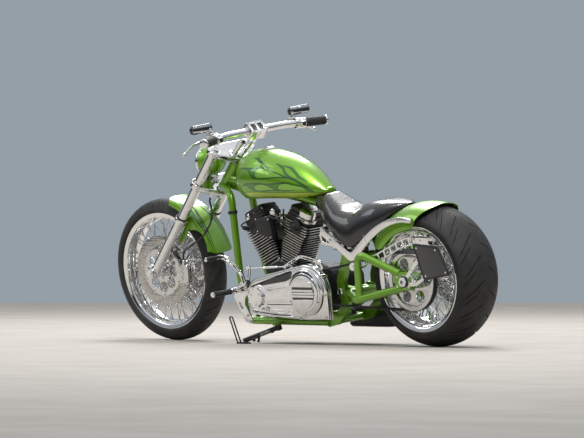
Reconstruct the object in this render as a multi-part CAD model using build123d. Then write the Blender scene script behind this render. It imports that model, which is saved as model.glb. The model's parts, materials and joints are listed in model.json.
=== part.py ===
from build123d import *
import os
from math import acos, asin, atan2, cos, degrees, pi, radians, sin, sqrt, tan

# Chopper motorcycle, parked on its side stand, in millimetres.
# It is drawn upright: X forward from the rear axle, Y to the rider's left, Z up from the road.
# The last section leans it on the stand and moves the origin to the middle of its footprint.

# Stance
wheelbase = 1770.0
lean = 7.5
steer_rest = 1.5
rake = 40.0
fork_offset = 65.0
fit_gap = 0.3

# Tyres and rims
front_tyre_r = 344.4
front_crown = 65.0
front_tread_half = 60.0
front_tyre_half = 64.5
front_rim_r = 280.0
front_rim_half = 49.0
front_well_r = 250.0
front_well_half = 20.0
rear_tyre_r = 329.0
rear_crown = 170.0
rear_tread_half = 118.0
rear_tyre_half = 127.0
rear_rim_r = 243.0
rear_rim_half = 117.0
rear_well_r = 208.0
rear_well_half = 50.0
rim_lip = 17.0

# Hubs, spokes and axles
spoke_count = 60
spoke_r = 2.8
spoke_layer = 3.6
lace_angle = 48.0
front_axle_r = 12.0
front_flange_r = 52.0
front_flange_y = 38.0
front_hub_half = 84.0
rear_axle_r = 12.7
rear_flange_r = 60.0
rear_flange_y = 62.0
flange_thick = 14.0
hub_barrel_r = 30.0

# Brakes
disc_thick = 5.0
front_disc_r = 172.0
front_disc_y = 60.0
rear_disc_r = 146.0
rear_disc_y = 112.0
disc_band = 55.0
pad_gap = 2.0

# Fork
leg_y = 112.0
slider_r = 26.0
slider_top = 327.0
ring_r = 31.0
ring_height = 18.0
cover_r = 24.0
clamp_leg_r = 21.0
lower_yoke_s = 538.0
upper_yoke_s = 745.0
yoke_thick = 27.0
stem_r = 12.5
head_tube_r = 29.0

# Belt drive
pulley_y0 = 137.0
pulley_y1 = 167.0
rear_pulley_r = 138.0
front_pulley_r = 71.0
output_x = 637.0
output_z = 285.0
belt_thick = 6.0

# Engine
crank_x = 961.0
crank_z = 250.0
vee_half = 22.5
deck_d = 148.0
fin_count = 12
fin_thick = 4.2
fin_start = 160.0
fin_half_x = 62.0
fin_half_y = 66.0
fin_spread = 0.11
barrel_half = 50.0
head_d = 314.0
head_fins = 4
head_half_x = 84.0
head_half_y = 70.0
rocker_d = 368.0
rocker_tall = 62.0
rocker_half_x = 74.0
rocker_half_y = 60.0
case_half_y = 96.0

# Frame tubes
backbone_r = 25.0
rail_r = 17.0
rail_y = 120.0
rail_z = 122.0
seat_tube_r = 14.0
plate_y0 = 98.0
plate_y1 = 123.0
plate_wide = 45.0

# Swingarm
arm_y = 192.0
arm_r = 18.0
pivot_x = 504.0
pivot_z = 266.0

# Fenders
rear_fender_r = 347.0
rear_fender_half = 155.0
rear_shoulder = (28.6, 112.0, 106.0)
fender_wall = 4.0
front_fender_r = 372.0
front_fender_half = 78.0
front_shoulder = (5.5, 65.0, 20.3)

# Side stand
stand_x = 912.0
stand_y = 153.0
stand_z = 98.0
knuckle_r = 14.0
knuckle_half = 13.0
stand_pin_r = 6.0
foot_x = 1005.0
foot_y = 300.0
stand_bar = 18.0

# Where the ground meets the leaning machine
lean_rad = radians(lean)
rake_rad = radians(rake)
ground_n = Vector(0, -sin(lean_rad), cos(lean_rad))
rear_axle_z = rear_tyre_r + rear_crown * (1 / cos(lean_rad) - 1)


def along_fork(x, y, s, axle_z=0.0):
    """Point x ahead of the leg line, y to the left and s up the leg from the front axle."""
    return Vector(wheelbase + x * cos(rake_rad) - s * sin(rake_rad), y, axle_z + x * sin(rake_rad) + s * cos(rake_rad))


def turned(point, angle, axle_z=0.0):
    """The point after the steering turns to the left by the angle."""
    axis = Axis(along_fork(-fork_offset, 0, 0, axle_z), along_fork(0, 0, 1) - along_fork(0, 0, 0))
    return Vertex(*point).rotate(axis, angle).center()


turned_axle = turned(Vector(wheelbase, 0, 0), steer_rest)
turned_side = turned(Vector(wheelbase, 1, 0), steer_rest) - turned_axle
tread_drop = (front_tyre_r - front_crown) * sqrt(1 - turned_side.dot(ground_n) ** 2) + front_crown
front_axle_z = (tread_drop - turned_axle.dot(ground_n)) / cos(lean_rad)

steer_axis = Axis(along_fork(-fork_offset, 0, 0, front_axle_z), along_fork(0, 0, 1) - along_fork(0, 0, 0))
fork = Plane(
    origin=(wheelbase, 0, front_axle_z),
    x_dir=(cos(rake_rad), 0, sin(rake_rad)),
    z_dir=(-sin(rake_rad), 0, cos(rake_rad)),
)
rear_centre = Vector(0, 0, rear_axle_z)
front_centre = Vector(wheelbase, 0, front_axle_z)


def fork_point(x, y, s):
    return along_fork(x, y, s, front_axle_z)


def rod(start, end, radius):
    """Round bar between two points."""
    start, end = Vector(*start), Vector(*end)
    return extrude(Plane(start, z_dir=end - start) * Circle(radius), (end - start).length)


def tube(points, radius, bend):
    """Round tube along straight runs joined by bends."""
    path = FilletPolyline(*points, radius=bend)
    return sweep(Plane(path @ 0, z_dir=path % 0) * Circle(radius), path=path)


def y_disc(x, z, radius, y0, y1):
    """Round plate or shaft along Y."""
    return Pos(x, max(y0, y1), z) * extrude(Plane.XZ * Circle(radius), abs(y1 - y0))


def y_plate(points, y0, y1, corner=0.0):
    """Flat plate with an outline of (x, z) points, from y0 to y1."""
    outline = FilletPolyline(*points, radius=corner, close=True) if corner else Polyline(*points, close=True)
    return Pos(0, max(y0, y1), 0) * extrude(Plane.XZ * make_face(outline), abs(y1 - y0))


def ribbon(points, width):
    """Closed outline of a strip of even width along a run of (x, z) points."""
    run = [Vector(*p) for p in points]
    left, right = [], []
    for i, point in enumerate(run):
        before = (point - run[i - 1]).normalized() if i else (run[1] - point).normalized()
        after = (run[i + 1] - point).normalized() if i < len(run) - 1 else before
        middle = (before + after).normalized()
        offset = Vector(-middle.Y, middle.X) * (width / 2 / middle.dot(before))
        left.append(point + offset)
        right.append(point - offset)
    return [(p.X, p.Y) for p in left + right[::-1]]


def band(points, width, bend, y0, y1):
    """Strip of even width from y0 to y1 along (x, z) points, its turns smooth and its ends round."""
    path = FilletPolyline(*points, radius=bend)
    outline = make_face(offset(path, width / 2, side=Side.BOTH))
    return Pos(0, max(y0, y1), 0) * extrude(Plane.XZ * outline, abs(y1 - y0))


def both_sides(shape):
    """The shape and its mirror image on the other side."""
    return [shape, mirror(shape, about=Plane.XZ)]


def on_axle(shape, centre):
    """Moves a shape turned about its own Y axis to an axle."""
    return Pos(centre.X, centre.Y, centre.Z) * shape


def at_angle(centre, angle):
    """Plane through an axle, its x pointing outward at an angle above the X axis."""
    a = radians(angle)
    return Plane(centre, x_dir=(cos(a), 0, sin(a)), z_dir=(-sin(a), 0, cos(a)))


# Wheels, turned about Y from sections of (radius, y)
def tyre(radius, crown, tread_half, half, rim_r, rim_half):
    edge_r = radius - crown + sqrt(crown**2 - tread_half**2)
    bulge_r = rim_r + (edge_r - rim_r) * 0.45
    seat_r = rim_r + fit_gap
    tread = ThreePointArc((edge_r, -tread_half), (radius, 0), (edge_r, tread_half))
    sides = Polyline(
        (edge_r, tread_half),
        (bulge_r, half),
        (seat_r, rim_half),
        (seat_r, -rim_half),
        (bulge_r, -half),
        (edge_r, -tread_half),
    )
    return revolve(make_face(tread + sides), Axis.Y)


def rim(rim_r, rim_half, well_r, well_half):
    section = [(rim_r, rim_half), (rim_r - rim_lip, rim_half - 5), (well_r, well_half)]
    section += [(r, -y) for r, y in reversed(section)]
    return revolve(make_face(Polyline(*section, close=True)), Axis.Y)


def hub(bore_r, flange_r, flange_y, spigot_r, seat_left, seat_right, end_left, end_right):
    """Spool hub with two spoke flanges, a seat on each side and a spigot to each end."""
    half = flange_thick / 2
    left = [
        (bore_r, end_left),
        (spigot_r, end_left),
        (spigot_r, seat_left),
        (hub_barrel_r + 12, seat_left),
        (hub_barrel_r + 12, flange_y + half),
        (flange_r, flange_y + half),
        (flange_r, flange_y - half),
        (hub_barrel_r, flange_y - half),
    ]
    right = [
        (hub_barrel_r, -flange_y + half),
        (flange_r, -flange_y + half),
        (flange_r, -flange_y - half),
        (hub_barrel_r + 12, -flange_y - half),
        (hub_barrel_r + 12, -seat_right),
        (spigot_r, -seat_right),
        (spigot_r, -end_right),
        (bore_r, -end_right),
    ]
    return revolve(make_face(Polyline(*left, *right, close=True)), Axis.Y)


def spokes(flange_r, flange_y, well_r, rim_y):
    """Crossed wire spokes: each runs from a flange to the rim, leaning forward or back in turn."""
    inner = flange_r + spoke_r + fit_gap
    outer = well_r - 1.3
    pitch = 720.0 / spoke_count
    made = []
    for side in (1, -1):
        for way in (1, -1):
            start_a = radians((0 if way > 0 else pitch) + (0 if side > 0 else pitch / 2))
            end_a = start_a + way * radians(lace_angle)
            start = Vector(inner * cos(start_a), side * (flange_y + way * spoke_layer), inner * sin(start_a))
            end = Vector(outer * cos(end_a), side * (rim_y + way * spoke_layer), outer * sin(end_a))
            one = extrude(Plane(start, z_dir=end - start) * RegularPolygon(spoke_r, 4), (end - start).length)
            made += [Rot(0, 2 * pitch * i, 0) * one for i in range(spoke_count // 4)]
    return made


def brake_disc(radius, y, bore_r, arms):
    """Disc ring on a carrier with arms, its inner face at y."""
    ring = Circle(radius) - Circle(radius - disc_band)
    carrier = Circle(bore_r + 16)
    for i in range(arms):
        carrier += Rot(0, 0, 360 / arms * i) * Pos(radius - disc_band - 20, 0) * Rectangle(radius, 16)
    face = ring + (carrier & Circle(radius - 20)) - Circle(bore_r)
    return Pos(0, y + disc_thick, 0) * extrude(Plane.XZ * face, disc_thick)


nodes = {}


def add(body, name, *shapes):
    """Keeps a node's solids under its body and name."""
    solids = [s for shape in shapes for s in shape.solids()]
    nodes[name] = (body, solids)


front_spigot_r = 24.0
add(
    "front_wheel", "front_tyre",
    on_axle(tyre(front_tyre_r, front_crown, front_tread_half, front_tyre_half, front_rim_r, front_rim_half), front_centre),
)
add(
    "front_wheel", "front_rim",
    on_axle(rim(front_rim_r, front_rim_half, front_well_r, front_well_half), front_centre),
)
front_hub = hub(
    front_axle_r + fit_gap, front_flange_r, front_flange_y, front_spigot_r,
    front_disc_y - fit_gap, front_disc_y - fit_gap, front_hub_half, front_hub_half,
)
front_spokes = spokes(front_flange_r, front_flange_y, front_well_r, 8.0)
add("front_wheel", "front_hub_spokes", *[on_axle(s, front_centre) for s in [front_hub] + front_spokes])
front_disc = on_axle(brake_disc(front_disc_r, front_disc_y, front_spigot_r + fit_gap, 5), front_centre)
add("front_wheel", "front_discs", *both_sides(front_disc))

rear_spigot_r = 26.0
rear_hub_left = 176.0
rear_hub_right = 160.0
add(
    "rear_wheel", "rear_tyre",
    on_axle(tyre(rear_tyre_r, rear_crown, rear_tread_half, rear_tyre_half, rear_rim_r, rear_rim_half), rear_centre),
)
add("rear_wheel", "rear_rim", on_axle(rim(rear_rim_r, rear_rim_half, rear_well_r, rear_well_half), rear_centre))
rear_hub = hub(
    rear_axle_r + fit_gap, rear_flange_r, rear_flange_y, rear_spigot_r,
    pulley_y0 - fit_gap, rear_disc_y - fit_gap, rear_hub_left, rear_hub_right,
)
rear_spokes = spokes(rear_flange_r, rear_flange_y, rear_well_r, 24.0)
add("rear_wheel", "rear_hub_spokes", *[on_axle(s, rear_centre) for s in [rear_hub] + rear_spokes])
rear_disc = mirror(brake_disc(rear_disc_r, rear_disc_y, rear_spigot_r + fit_gap, 5), about=Plane.XZ)
add("rear_wheel", "rear_disc", on_axle(rear_disc, rear_centre))

# Rear pulley with round windows, and the belt round both pulleys
pulley_windows = 6
pulley = Circle(rear_pulley_r) - Circle(rear_spigot_r + fit_gap)
for i in range(pulley_windows):
    pulley -= Rot(0, 0, 360 / pulley_windows * i) * Pos((rear_pulley_r + rear_spigot_r) / 2 + 6, 0) * Circle(26)
add(
    "rear_wheel", "rear_pulley",
    on_axle(Pos(0, pulley_y1, 0) * extrude(Plane.XZ * pulley, pulley_y1 - pulley_y0), rear_centre),
)


def belt_loop(gap):
    loop = Pos(0, rear_axle_z) * Circle(rear_pulley_r + gap) + Pos(output_x, output_z) * Circle(front_pulley_r + gap)
    return make_hull(loop.edges())


belt = belt_loop(fit_gap + belt_thick) - belt_loop(fit_gap)
add("chassis", "drive_belt", Pos(0, pulley_y1 - 2, 0) * extrude(Plane.XZ * belt, pulley_y1 - pulley_y0 - 4))

# Axles
add(
    "steering", "front_axle",
    y_disc(wheelbase, front_axle_z, front_axle_r, -146, 146)
    + y_disc(wheelbase, front_axle_z, 20, 138.3, 152)
    + y_disc(wheelbase, front_axle_z, 20, -138.3, -152),
)
axle_end = 228.0
axle_nut_y = 212.5
axle_bore_r = 9.0
axle_bore_deep = 30.0
axle_nut_r = 24.0
sleeve_end = axle_end - axle_bore_deep
shaft_end = sleeve_end - fit_gap


def sleeve_nut(side):
    """Nut whose sleeve passes through the swingarm to meet the shaft, bored for a stand's spindle."""
    nut = y_disc(0, rear_axle_z, axle_nut_r, side * axle_nut_y, side * axle_end)
    nut += y_disc(0, rear_axle_z, rear_axle_r, side * sleeve_end, side * axle_end)
    return nut - y_disc(0, rear_axle_z, axle_bore_r, side * (sleeve_end - 1), side * (axle_end + 1))


rear_shaft = y_disc(0, rear_axle_z, rear_axle_r, -shaft_end, shaft_end)
add("chassis", "rear_axle", rear_shaft, sleeve_nut(1), sleeve_nut(-1))

# Fork legs, yokes and stem, drawn up the leg line and laid back with it
leg_lug_y = 138.0
leg_section = [
    (0, -24), (20, -24), (slider_r, -14), (slider_r, slider_top), (ring_r, slider_top),
    (ring_r, slider_top + ring_height), (cover_r, slider_top + ring_height),
    (cover_r, lower_yoke_s - fit_gap), (clamp_leg_r, lower_yoke_s - fit_gap),
    (clamp_leg_r, lower_yoke_s + yoke_thick + fit_gap), (cover_r, lower_yoke_s + yoke_thick + fit_gap),
    (cover_r, upper_yoke_s - fit_gap), (clamp_leg_r, upper_yoke_s - fit_gap),
    (clamp_leg_r, upper_yoke_s + yoke_thick + 4), (15, upper_yoke_s + yoke_thick + 9),
    (0, upper_yoke_s + yoke_thick + 9),
]
leg = revolve(Plane.XZ * make_face(Polyline(*leg_section, close=True)), Axis.Z)
leg += Pos(0, (front_hub_half + leg_lug_y) / 2 + 0.3 - leg_y, 0) * Rot(90, 0, 0) * Cylinder(23, leg_lug_y - front_hub_half - 0.6)
leg = Pos(0, leg_y, 0) * leg - Rot(90, 0, 0) * Cylinder(front_axle_r + fit_gap, 400)
add("steering", "fork_legs", *both_sides(fork * leg))

yoke_web = Polyline((16, -leg_y), (16, leg_y), (-20, leg_y), (-92, 30), (-92, -30), (-20, -leg_y), close=True)
yoke_plan = make_face(yoke_web) + Pos(-fork_offset, 0) * Circle(32)
for side in (1, -1):
    yoke_plan += Pos(0, side * leg_y) * Circle(36)
for side in (1, -1):
    yoke_plan -= Pos(0, side * leg_y) * Circle(clamp_leg_r + fit_gap)
stem_top = upper_yoke_s + yoke_thick + 14
stem = Pos(-fork_offset, 0, lower_yoke_s) * extrude(Circle(stem_r), stem_top - lower_yoke_s)
lower_yoke = Pos(0, 0, lower_yoke_s) * extrude(yoke_plan, yoke_thick) + stem
upper_yoke = Pos(0, 0, upper_yoke_s) * extrude(yoke_plan - Pos(-fork_offset, 0) * Circle(stem_r + fit_gap), yoke_thick)
add("steering", "lower_yoke", fork * lower_yoke)

# Handlebar on two risers leaning back to a clamp with windows
bar_r = 17.0
bar_centre = Vector(1107, 0, 1012)
bar_left = [(1107, 70, 1012), (1120, 200, 1010), (1040, 408, 1004)]
bar_right = [(x, -y, z) for x, y, z in reversed(bar_left)]
handlebar = tube(bar_right + bar_left, bar_r, 90)
riser_half = 52.0
clamp_block = Pos(*bar_centre) * Rot(0, -47, 0) * Box(66, 2 * riser_half, 56)
clamp_block -= rod((1107, -riser_half - 1, 1012), (1107, riser_half + 1, 1012), bar_r + fit_gap)
risers = clamp_block
for y in (-36, 36):
    foot = fork_point(-fork_offset + 14, y, upper_yoke_s + yoke_thick)
    risers += extrude(
        Plane(foot, x_dir=fork.x_dir, z_dir=fork.z_dir) * Circle(15), 26
    )
    risers += rod(foot + fork.z_dir * 14, bar_centre + Vector(16, y, -16), 14)
risers -= rod((1107, -riser_half - 1, 1012), (1107, riser_half + 1, 1012), bar_r + fit_gap)
add("steering", "upper_yoke", fork * upper_yoke + risers)

bar_end_dir = (Vector(*bar_left[2]) - Vector(*bar_left[1])).normalized()


def on_bar(distance):
    """Point on the left end of the bar, a distance inward from its tip."""
    return Vector(*bar_left[2]) - bar_end_dir * distance


def bar_sleeve(start, end, radius):
    bar_plane = Plane(on_bar(start), z_dir=on_bar(end) - on_bar(start))
    return extrude(bar_plane * (Circle(radius) - Circle(bar_r + fit_gap)), start - end)


grip_long = 112.0
grip = bar_sleeve(grip_long, fit_gap, 21)
add("steering", "grips", *both_sides(grip))
for shape in both_sides(extrude(Plane(on_bar(0), z_dir=bar_end_dir) * Circle(22), 10)):
    handlebar += shape
add("steering", "handlebar", handlebar)

perch = bar_sleeve(grip_long + 46, grip_long + fit_gap, 25)
lever_root = on_bar(grip_long + 30) + Vector(34, 0, -4)
lever_tip = Vector(1149, 440, 958)
perch += rod(on_bar(grip_long + 30) + Vector(20, 0, 0), lever_root, 13)
lever_mid = lever_root + Vector(30, 60, -8)
perch += tube([lever_root - Vector(0, 6, 0), lever_mid, lever_tip], 6, 40)
perch += rod(lever_tip - Vector(0, 6, 0), lever_tip + Vector(0, 5, 0), 9)
reservoir = Pos(*(on_bar(grip_long + 24) + Vector(30, -4, 20))) * Box(38, 46, 20)
perch += reservoir
perch -= rod(on_bar(grip_long + 60), on_bar(0), bar_r + fit_gap)
add("steering", "hand_controls", *both_sides(perch))

mirror_at = Vector(1132, 330, 1064)
mirror_half = (9.0, 70.0, 21.0)
mirror_head = extrude(
    Plane(mirror_at - Vector(mirror_half[0], 0, 0), x_dir=(0, 1, 0), z_dir=(1, 0, 0))
    * RectangleRounded(2 * mirror_half[1], 2 * mirror_half[2], 18),
    2 * mirror_half[0],
)
stem_foot = on_bar(grip_long + 24) + Vector(38, -4, 30 + fit_gap)
mirror_head += rod(stem_foot, stem_foot + Vector(0, 0, 16), 6)
add("steering", "mirrors", *both_sides(mirror_head))

# Headlamp bucket, turned about X
lamp_at = Vector(1417, 0, 868)
lamp_r = 72.0
lamp_section = [(38, 0), (38, lamp_r - 3), (30, lamp_r), (-10, lamp_r - 3), (-52, lamp_r - 28), (-64, 18), (-64, 0)]
lamp = revolve(make_face(Polyline(*lamp_section, close=True)), Axis.X)
lamp = Pos(*lamp_at) * lamp
lamp_foot = fork_point(0, 0, lower_yoke_s + yoke_thick + fit_gap)
lamp += extrude(Plane(lamp_foot, z_dir=fork.z_dir) * Circle(15), 16)
lamp += rod(lamp_foot + fork.z_dir * 12, lamp_at - Vector(0, 0, lamp_r - 8), 10)
add("steering", "headlamp", lamp)
lens_section = [(38 + fit_gap, 0), (38 + fit_gap, lamp_r - 4), (46, lamp_r - 8), (54, 30), (56, 0)]
add("steering", "headlamp_lens", Pos(*lamp_at) * revolve(make_face(Polyline(*lens_section, close=True)), Axis.X))


# Fenders: curved shells turned about the axles
def fender_arch(crown_r, half, shoulder, wall=0.0):
    """Arch of (radius, y) over the crown; shoulder gives its drop and y, and the drop to the flat sides."""
    drop, shoulder_y, side_drop = shoulder
    turn = asin(2 * drop * shoulder_y / (shoulder_y**2 + drop**2))
    edge = (crown_r - drop - wall * cos(turn), shoulder_y - wall * sin(turn))
    side = (crown_r - side_drop, half - wall)
    middle_r = crown_r - drop - 0.38 * (side_drop - drop) - 0.6 * wall
    middle = (middle_r, shoulder_y + 0.68 * (half - shoulder_y) - 0.8 * wall)
    crown = ThreePointArc((edge[0], -edge[1]), (crown_r - wall, 0), edge)
    shoulders = [ThreePointArc((side[0], way * side[1]), (middle[0], way * middle[1]), (edge[0], way * edge[1])) for way in (-1, 1)]
    return shoulders[0] + crown + shoulders[1]


def fender_section(crown_r, half, shoulder, skirt_r):
    """Closed section of the shell: arch outside and inside, and the flat sides down to the skirt."""
    side_r = crown_r - shoulder[2]
    inside = half - fender_wall
    ends = Polyline((side_r, half), (skirt_r, half), (skirt_r, inside), (side_r, inside))
    others = Polyline((side_r, -half), (skirt_r, -half), (skirt_r, -inside), (side_r, -inside))
    return make_face(fender_arch(crown_r, half, shoulder) + ends + fender_arch(crown_r, half, shoulder, fender_wall) + others)


rear_fender_front = 33.0
rear_fender_back = 112.0
rear_skirt_r = 232.0
rear_section = fender_section(rear_fender_r, rear_fender_half, rear_shoulder, rear_skirt_r)
rear_fender = revolve(
    at_angle(rear_centre, rear_fender_front) * rear_section,
    Axis(rear_centre, (0, -1, 0)), rear_fender_back - rear_fender_front,
)
tail_edge = [(-4, 190), (-34, 243), (-60, 294), (-96, 338), (-104, 400), (-420, 400), (-420, 100)]
rear_fender -= y_plate([(x, rear_axle_z + z) for x, z in tail_edge], -200, 200)
strut_run = [(-17, 609), (65, 619), (220, 572), (374, 441), (556, 552)]
strut_lugs = [(strut_run[0], 9, 139), (strut_run[1], 7, 119)]
for side in (1, -1):
    for (x, z), lug_r, lug_y in strut_lugs:
        rear_fender += y_disc(x, z, lug_r, side * lug_y, side * rear_fender_half)
add("chassis", "rear_fender", rear_fender)

front_fender_front = 99.0
front_fender_back = 167.0
front_skirt_r = 318.0
front_section = fender_section(front_fender_r, front_fender_half, front_shoulder, front_skirt_r)
front_fender = revolve(
    at_angle(front_centre, front_fender_front) * front_section,
    Axis(front_centre, (0, -1, 0)), front_fender_back - front_fender_front,
)
arch_run = [(136.5, 280), (139, 303), (142, 338), (146, 351), (154, 352), (162, 352), (168, 352), (168, 280)]  # angle, radius
arch = [
    (wheelbase + r * cos(radians(a)), front_axle_z + r * sin(radians(a))) for a, r in arch_run
]
front_fender -= y_plate(arch, -100, 100)
stay_run = [(1534, 566), (1570, 548), (1594, 508), (1636, 491)]
front_fender += band(stay_run, 20, 16, front_fender_half - fender_wall, front_fender_half)
front_fender += band(stay_run, 20, 16, -front_fender_half + fender_wall, -front_fender_half)
for side in (1, -1):
    front_fender += y_disc(1640, 490, 9, side * (front_fender_half - 1), side * (leg_y - slider_r - fit_gap))
fender_lug_s = 328.0
for side in (1, -1):
    lug_y = side * (front_fender_half + leg_y - slider_r - fit_gap) / 2
    lug = Pos(0, lug_y, fender_lug_s - 14) * Box(22, leg_y - slider_r - fit_gap - front_fender_half, 26)
    front_fender += fork * lug
add("steering", "front_fender", front_fender)

# Struts along the rear fender, with an arm forward to the side covers
strut_y0 = rear_fender_half + fit_gap
strut_y1 = strut_y0 + 8
side_cover_y0 = 128.0
side_cover_y1 = 133.0
strut_wide = 34.0
strut = band(strut_run, strut_wide, 32, strut_y0, strut_y1)
strut -= y_disc(505, 521, 5, strut_y0 - 1, strut_y1 + 1)
strut += y_disc(548, 548, 12, side_cover_y1 + fit_gap, strut_y0 + 4)
add("chassis", "fender_struts", *both_sides(strut))

# Frame: head tube, backbone, down tubes, rails, seat tubes and flat uprights
head_low = lower_yoke_s + yoke_thick + 8
head_high = upper_yoke_s - 8
down_run = [(1338, 20, 752), (1242, 66, 708), (1212, 86, 349), (1150, rail_y, rail_z), (597, rail_y, rail_z)]
upright_run = [(453, 440), (504, 318), (504, 265), (482, 222), (499, 184), (553, 133), (600, rail_z)]
seat_tube_run = [(700, 24, 668), (600, 70, 588), (520, 98, 522), (453, 110, 444)]
backbone_run = [(1302, 0, 782), (690, 0, 668)]


def backbone_z(x):
    (front_x, _, front_z), (rear_x, _, rear_z) = backbone_run
    return rear_z + (x - rear_x) * (front_z - rear_z) / (front_x - rear_x)


frame = fork * (Pos(-fork_offset, 0, head_low) * extrude(Circle(head_tube_r), head_high - head_low))
frame += rod(*backbone_run, backbone_r)
for shape in both_sides(tube(down_run, rail_r, 60)):
    frame += shape
for shape in both_sides(tube(seat_tube_run, seat_tube_r, 40)):
    frame += shape
for shape in both_sides(band(upright_run, plate_wide, 28, plate_y0, plate_y1)):
    frame += shape
cross_tubes = [(1090, rail_z), (600, rail_z), (470, 420)]
for x, z in cross_tubes:
    frame += y_disc(x, z, rail_r, -rail_y, rail_y)
neck_gusset = [(1312, 742), (1215, 712), (1190, 762), (1290, 792)]
frame += y_plate(neck_gusset, -6, 6)
frame -= fork * (Pos(-fork_offset, 0, head_low - 30) * extrude(Circle(stem_r + fit_gap), head_high - head_low + 60))
hinge_at = Vector(stand_x, stand_y, stand_z)
leg_out = Vector(foot_x - stand_x, foot_y - stand_y, foot_y * tan(lean_rad) + stand_bar * 0.75 - stand_z)
hinge_dir = leg_out.cross(Vector(-1, 0.12, 0.12)).normalized()
hinge = Plane(hinge_at, x_dir=hinge_dir.cross(Vector(0, -1, 0)), z_dir=hinge_dir)
frame += hinge * (Pos(0, -12, knuckle_half + fit_gap) * extrude(Rectangle(40, 52), 8))
frame += hinge * (Pos(0, 0, -knuckle_half - 3) * extrude(Circle(stand_pin_r), 2 * knuckle_half + 8))
pivot_hole = rear_axle_r + fit_gap
frame -= y_disc(pivot_x, pivot_z, pivot_hole, -plate_y1 - 1, plate_y1 + 1)
add("chassis", "frame", frame)

# Swingarm: cross tube with lugs at the pivot, two triangulated arms and axle plates
arm_low = [(448, 120, 258), (340, arm_y, 238), (26, arm_y, 300)]
arm_high = [(318, arm_y, 240), (306, arm_y, 458), (42, arm_y, rear_axle_z + 34)]
swingarm = y_disc(448, 258, 22, -122, 122)
for side in (1, -1):
    swingarm += y_plate([(430, 240), (430, 276), (520, 290), (520, 246)], side * 60, side * 92)
for shape in both_sides(tube(arm_low, arm_r, 45) + tube(arm_high, arm_r, 35)):
    swingarm += shape
axle_plate = [(-44, rear_axle_z - 10), (-30, rear_axle_z - 38), (60, rear_axle_z - 44), (70, rear_axle_z + 40), (10, rear_axle_z + 44)]
for shape in both_sides(y_plate(axle_plate, arm_y - 14, arm_y + 15)):
    swingarm += shape
swingarm -= y_disc(0, rear_axle_z, rear_axle_r + fit_gap, -axle_end, axle_end)
swingarm += y_disc(pivot_x, pivot_z, rear_axle_r, -plate_y1 - 4, plate_y1 + 4)
for side in (1, -1):
    swingarm += y_disc(pivot_x, pivot_z, 19, side * (plate_y1 + fit_gap), side * (plate_y1 + 11))
add("chassis", "swingarm", swingarm)


# Tank: sections across X, each of a flat bottom, two bulging sides and a crown
def tank_section(x, half, bottom, top):
    shoulder = top - 0.28 * (top - bottom)
    middle = bottom + 0.42 * (top - bottom)
    outline = (
        Line((-0.72 * half, bottom), (0.72 * half, bottom))
        + ThreePointArc((0.72 * half, bottom), (half, middle), (0.8 * half, shoulder))
        + ThreePointArc((0.8 * half, shoulder), (0, top), (-0.8 * half, shoulder))
        + ThreePointArc((-0.8 * half, shoulder), (-half, middle), (-0.72 * half, bottom))
    )
    return Plane((x, 0, 0), x_dir=(0, 1, 0), z_dir=(1, 0, 0)) * make_face(outline)


tank_rows = [  # x, half width, bottom, top
    (638, 36, 714, 744),
    (720, 84, 704, 816),
    (850, 128, 700, 890),
    (1000, 136, 700, 924),
    (1140, 108, 703, 914),
    (1190, 74, 730, 880),
]
tank = loft([tank_section(*row) for row in tank_rows])
tunnel = [(600, 600), (600, 700), (720, 716), (1200, 806), (1260, 806), (1260, 600)]
tank -= y_plate(tunnel, -backbone_r - 6, backbone_r + 6)
for x in (900, 1100):
    pad_z = backbone_z(x) + 2
    for side in (1, -1):
        tank += y_disc(x, pad_z, 8, side * (backbone_r + fit_gap), side * (backbone_r + 9))
cap_at = Vector(1023, 0, 922)
tank -= Pos(*cap_at) * Cylinder(22, 30)
tank -= Pos(*cap_at) * extrude(Circle(30 + fit_gap), 30)
add("chassis", "fuel_tank", tank)
fuel_cap = Pos(cap_at.X, 0, cap_at.Z - 12) * extrude(Circle(22 - fit_gap), 14)
fuel_cap += Pos(cap_at.X, 0, cap_at.Z + fit_gap) * extrude(Circle(30), 10)
add("chassis", "fuel_cap", fuel_cap)


# Seat: a saddle lofted from open arches, cut to clear the fender and the frame
def seat_section(x, half, edge, top):
    pad = min(30, 0.5 * (top - edge))
    flap = 12
    shoulder = edge + 0.45 * (top - edge)
    inner_top = top - pad
    inner_shoulder = min(shoulder, inner_top - 3)
    outline = (
        Line((-half, edge), (-half + 2, shoulder))
        + ThreePointArc((-half + 2, shoulder), (0, top), (half - 2, shoulder))
        + Polyline((half - 2, shoulder), (half, edge), (half - flap, edge), (half - flap, inner_shoulder))
        + ThreePointArc((half - flap, inner_shoulder), (0, inner_top), (-half + flap, inner_shoulder))
        + Polyline((-half + flap, inner_shoulder), (-half + flap, edge), (-half, edge))
    )
    return Plane((x, 0, 0), x_dir=(0, 1, 0), z_dir=(1, 0, 0)) * make_face(outline)


seat_rows = [  # x, half width, edge, top
    (702, 34, 684, 702),
    (640, 78, 622, 683),
    (540, 128, 562, 622),
    (460, 147, 506, 626),
    (387, 151, 476, 642),
    (300, 151, 522, 668),
    (200, 140, 590, 692),
    (112, 100, 668, 694),
]
seat = loft([seat_section(*row) for row in seat_rows], ruled=True)
seat_rest = 1.0
fender_arch_out = fender_arch(rear_fender_r + seat_rest, rear_fender_half + seat_rest, rear_shoulder)
fender_foot = Polyline(fender_arch_out @ 1, (0, rear_fender_half + seat_rest), (0, -rear_fender_half - seat_rest), fender_arch_out @ 0)
seat -= on_axle(revolve(make_face(fender_arch_out + fender_foot), Axis.Y), rear_centre)
for shape in both_sides(tube(seat_tube_run, seat_tube_r + 3, 40)):
    seat -= shape
seat -= rod(backbone_run[0], (680, 0, 666), backbone_r + 3)
add("chassis", "seat", seat)

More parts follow.
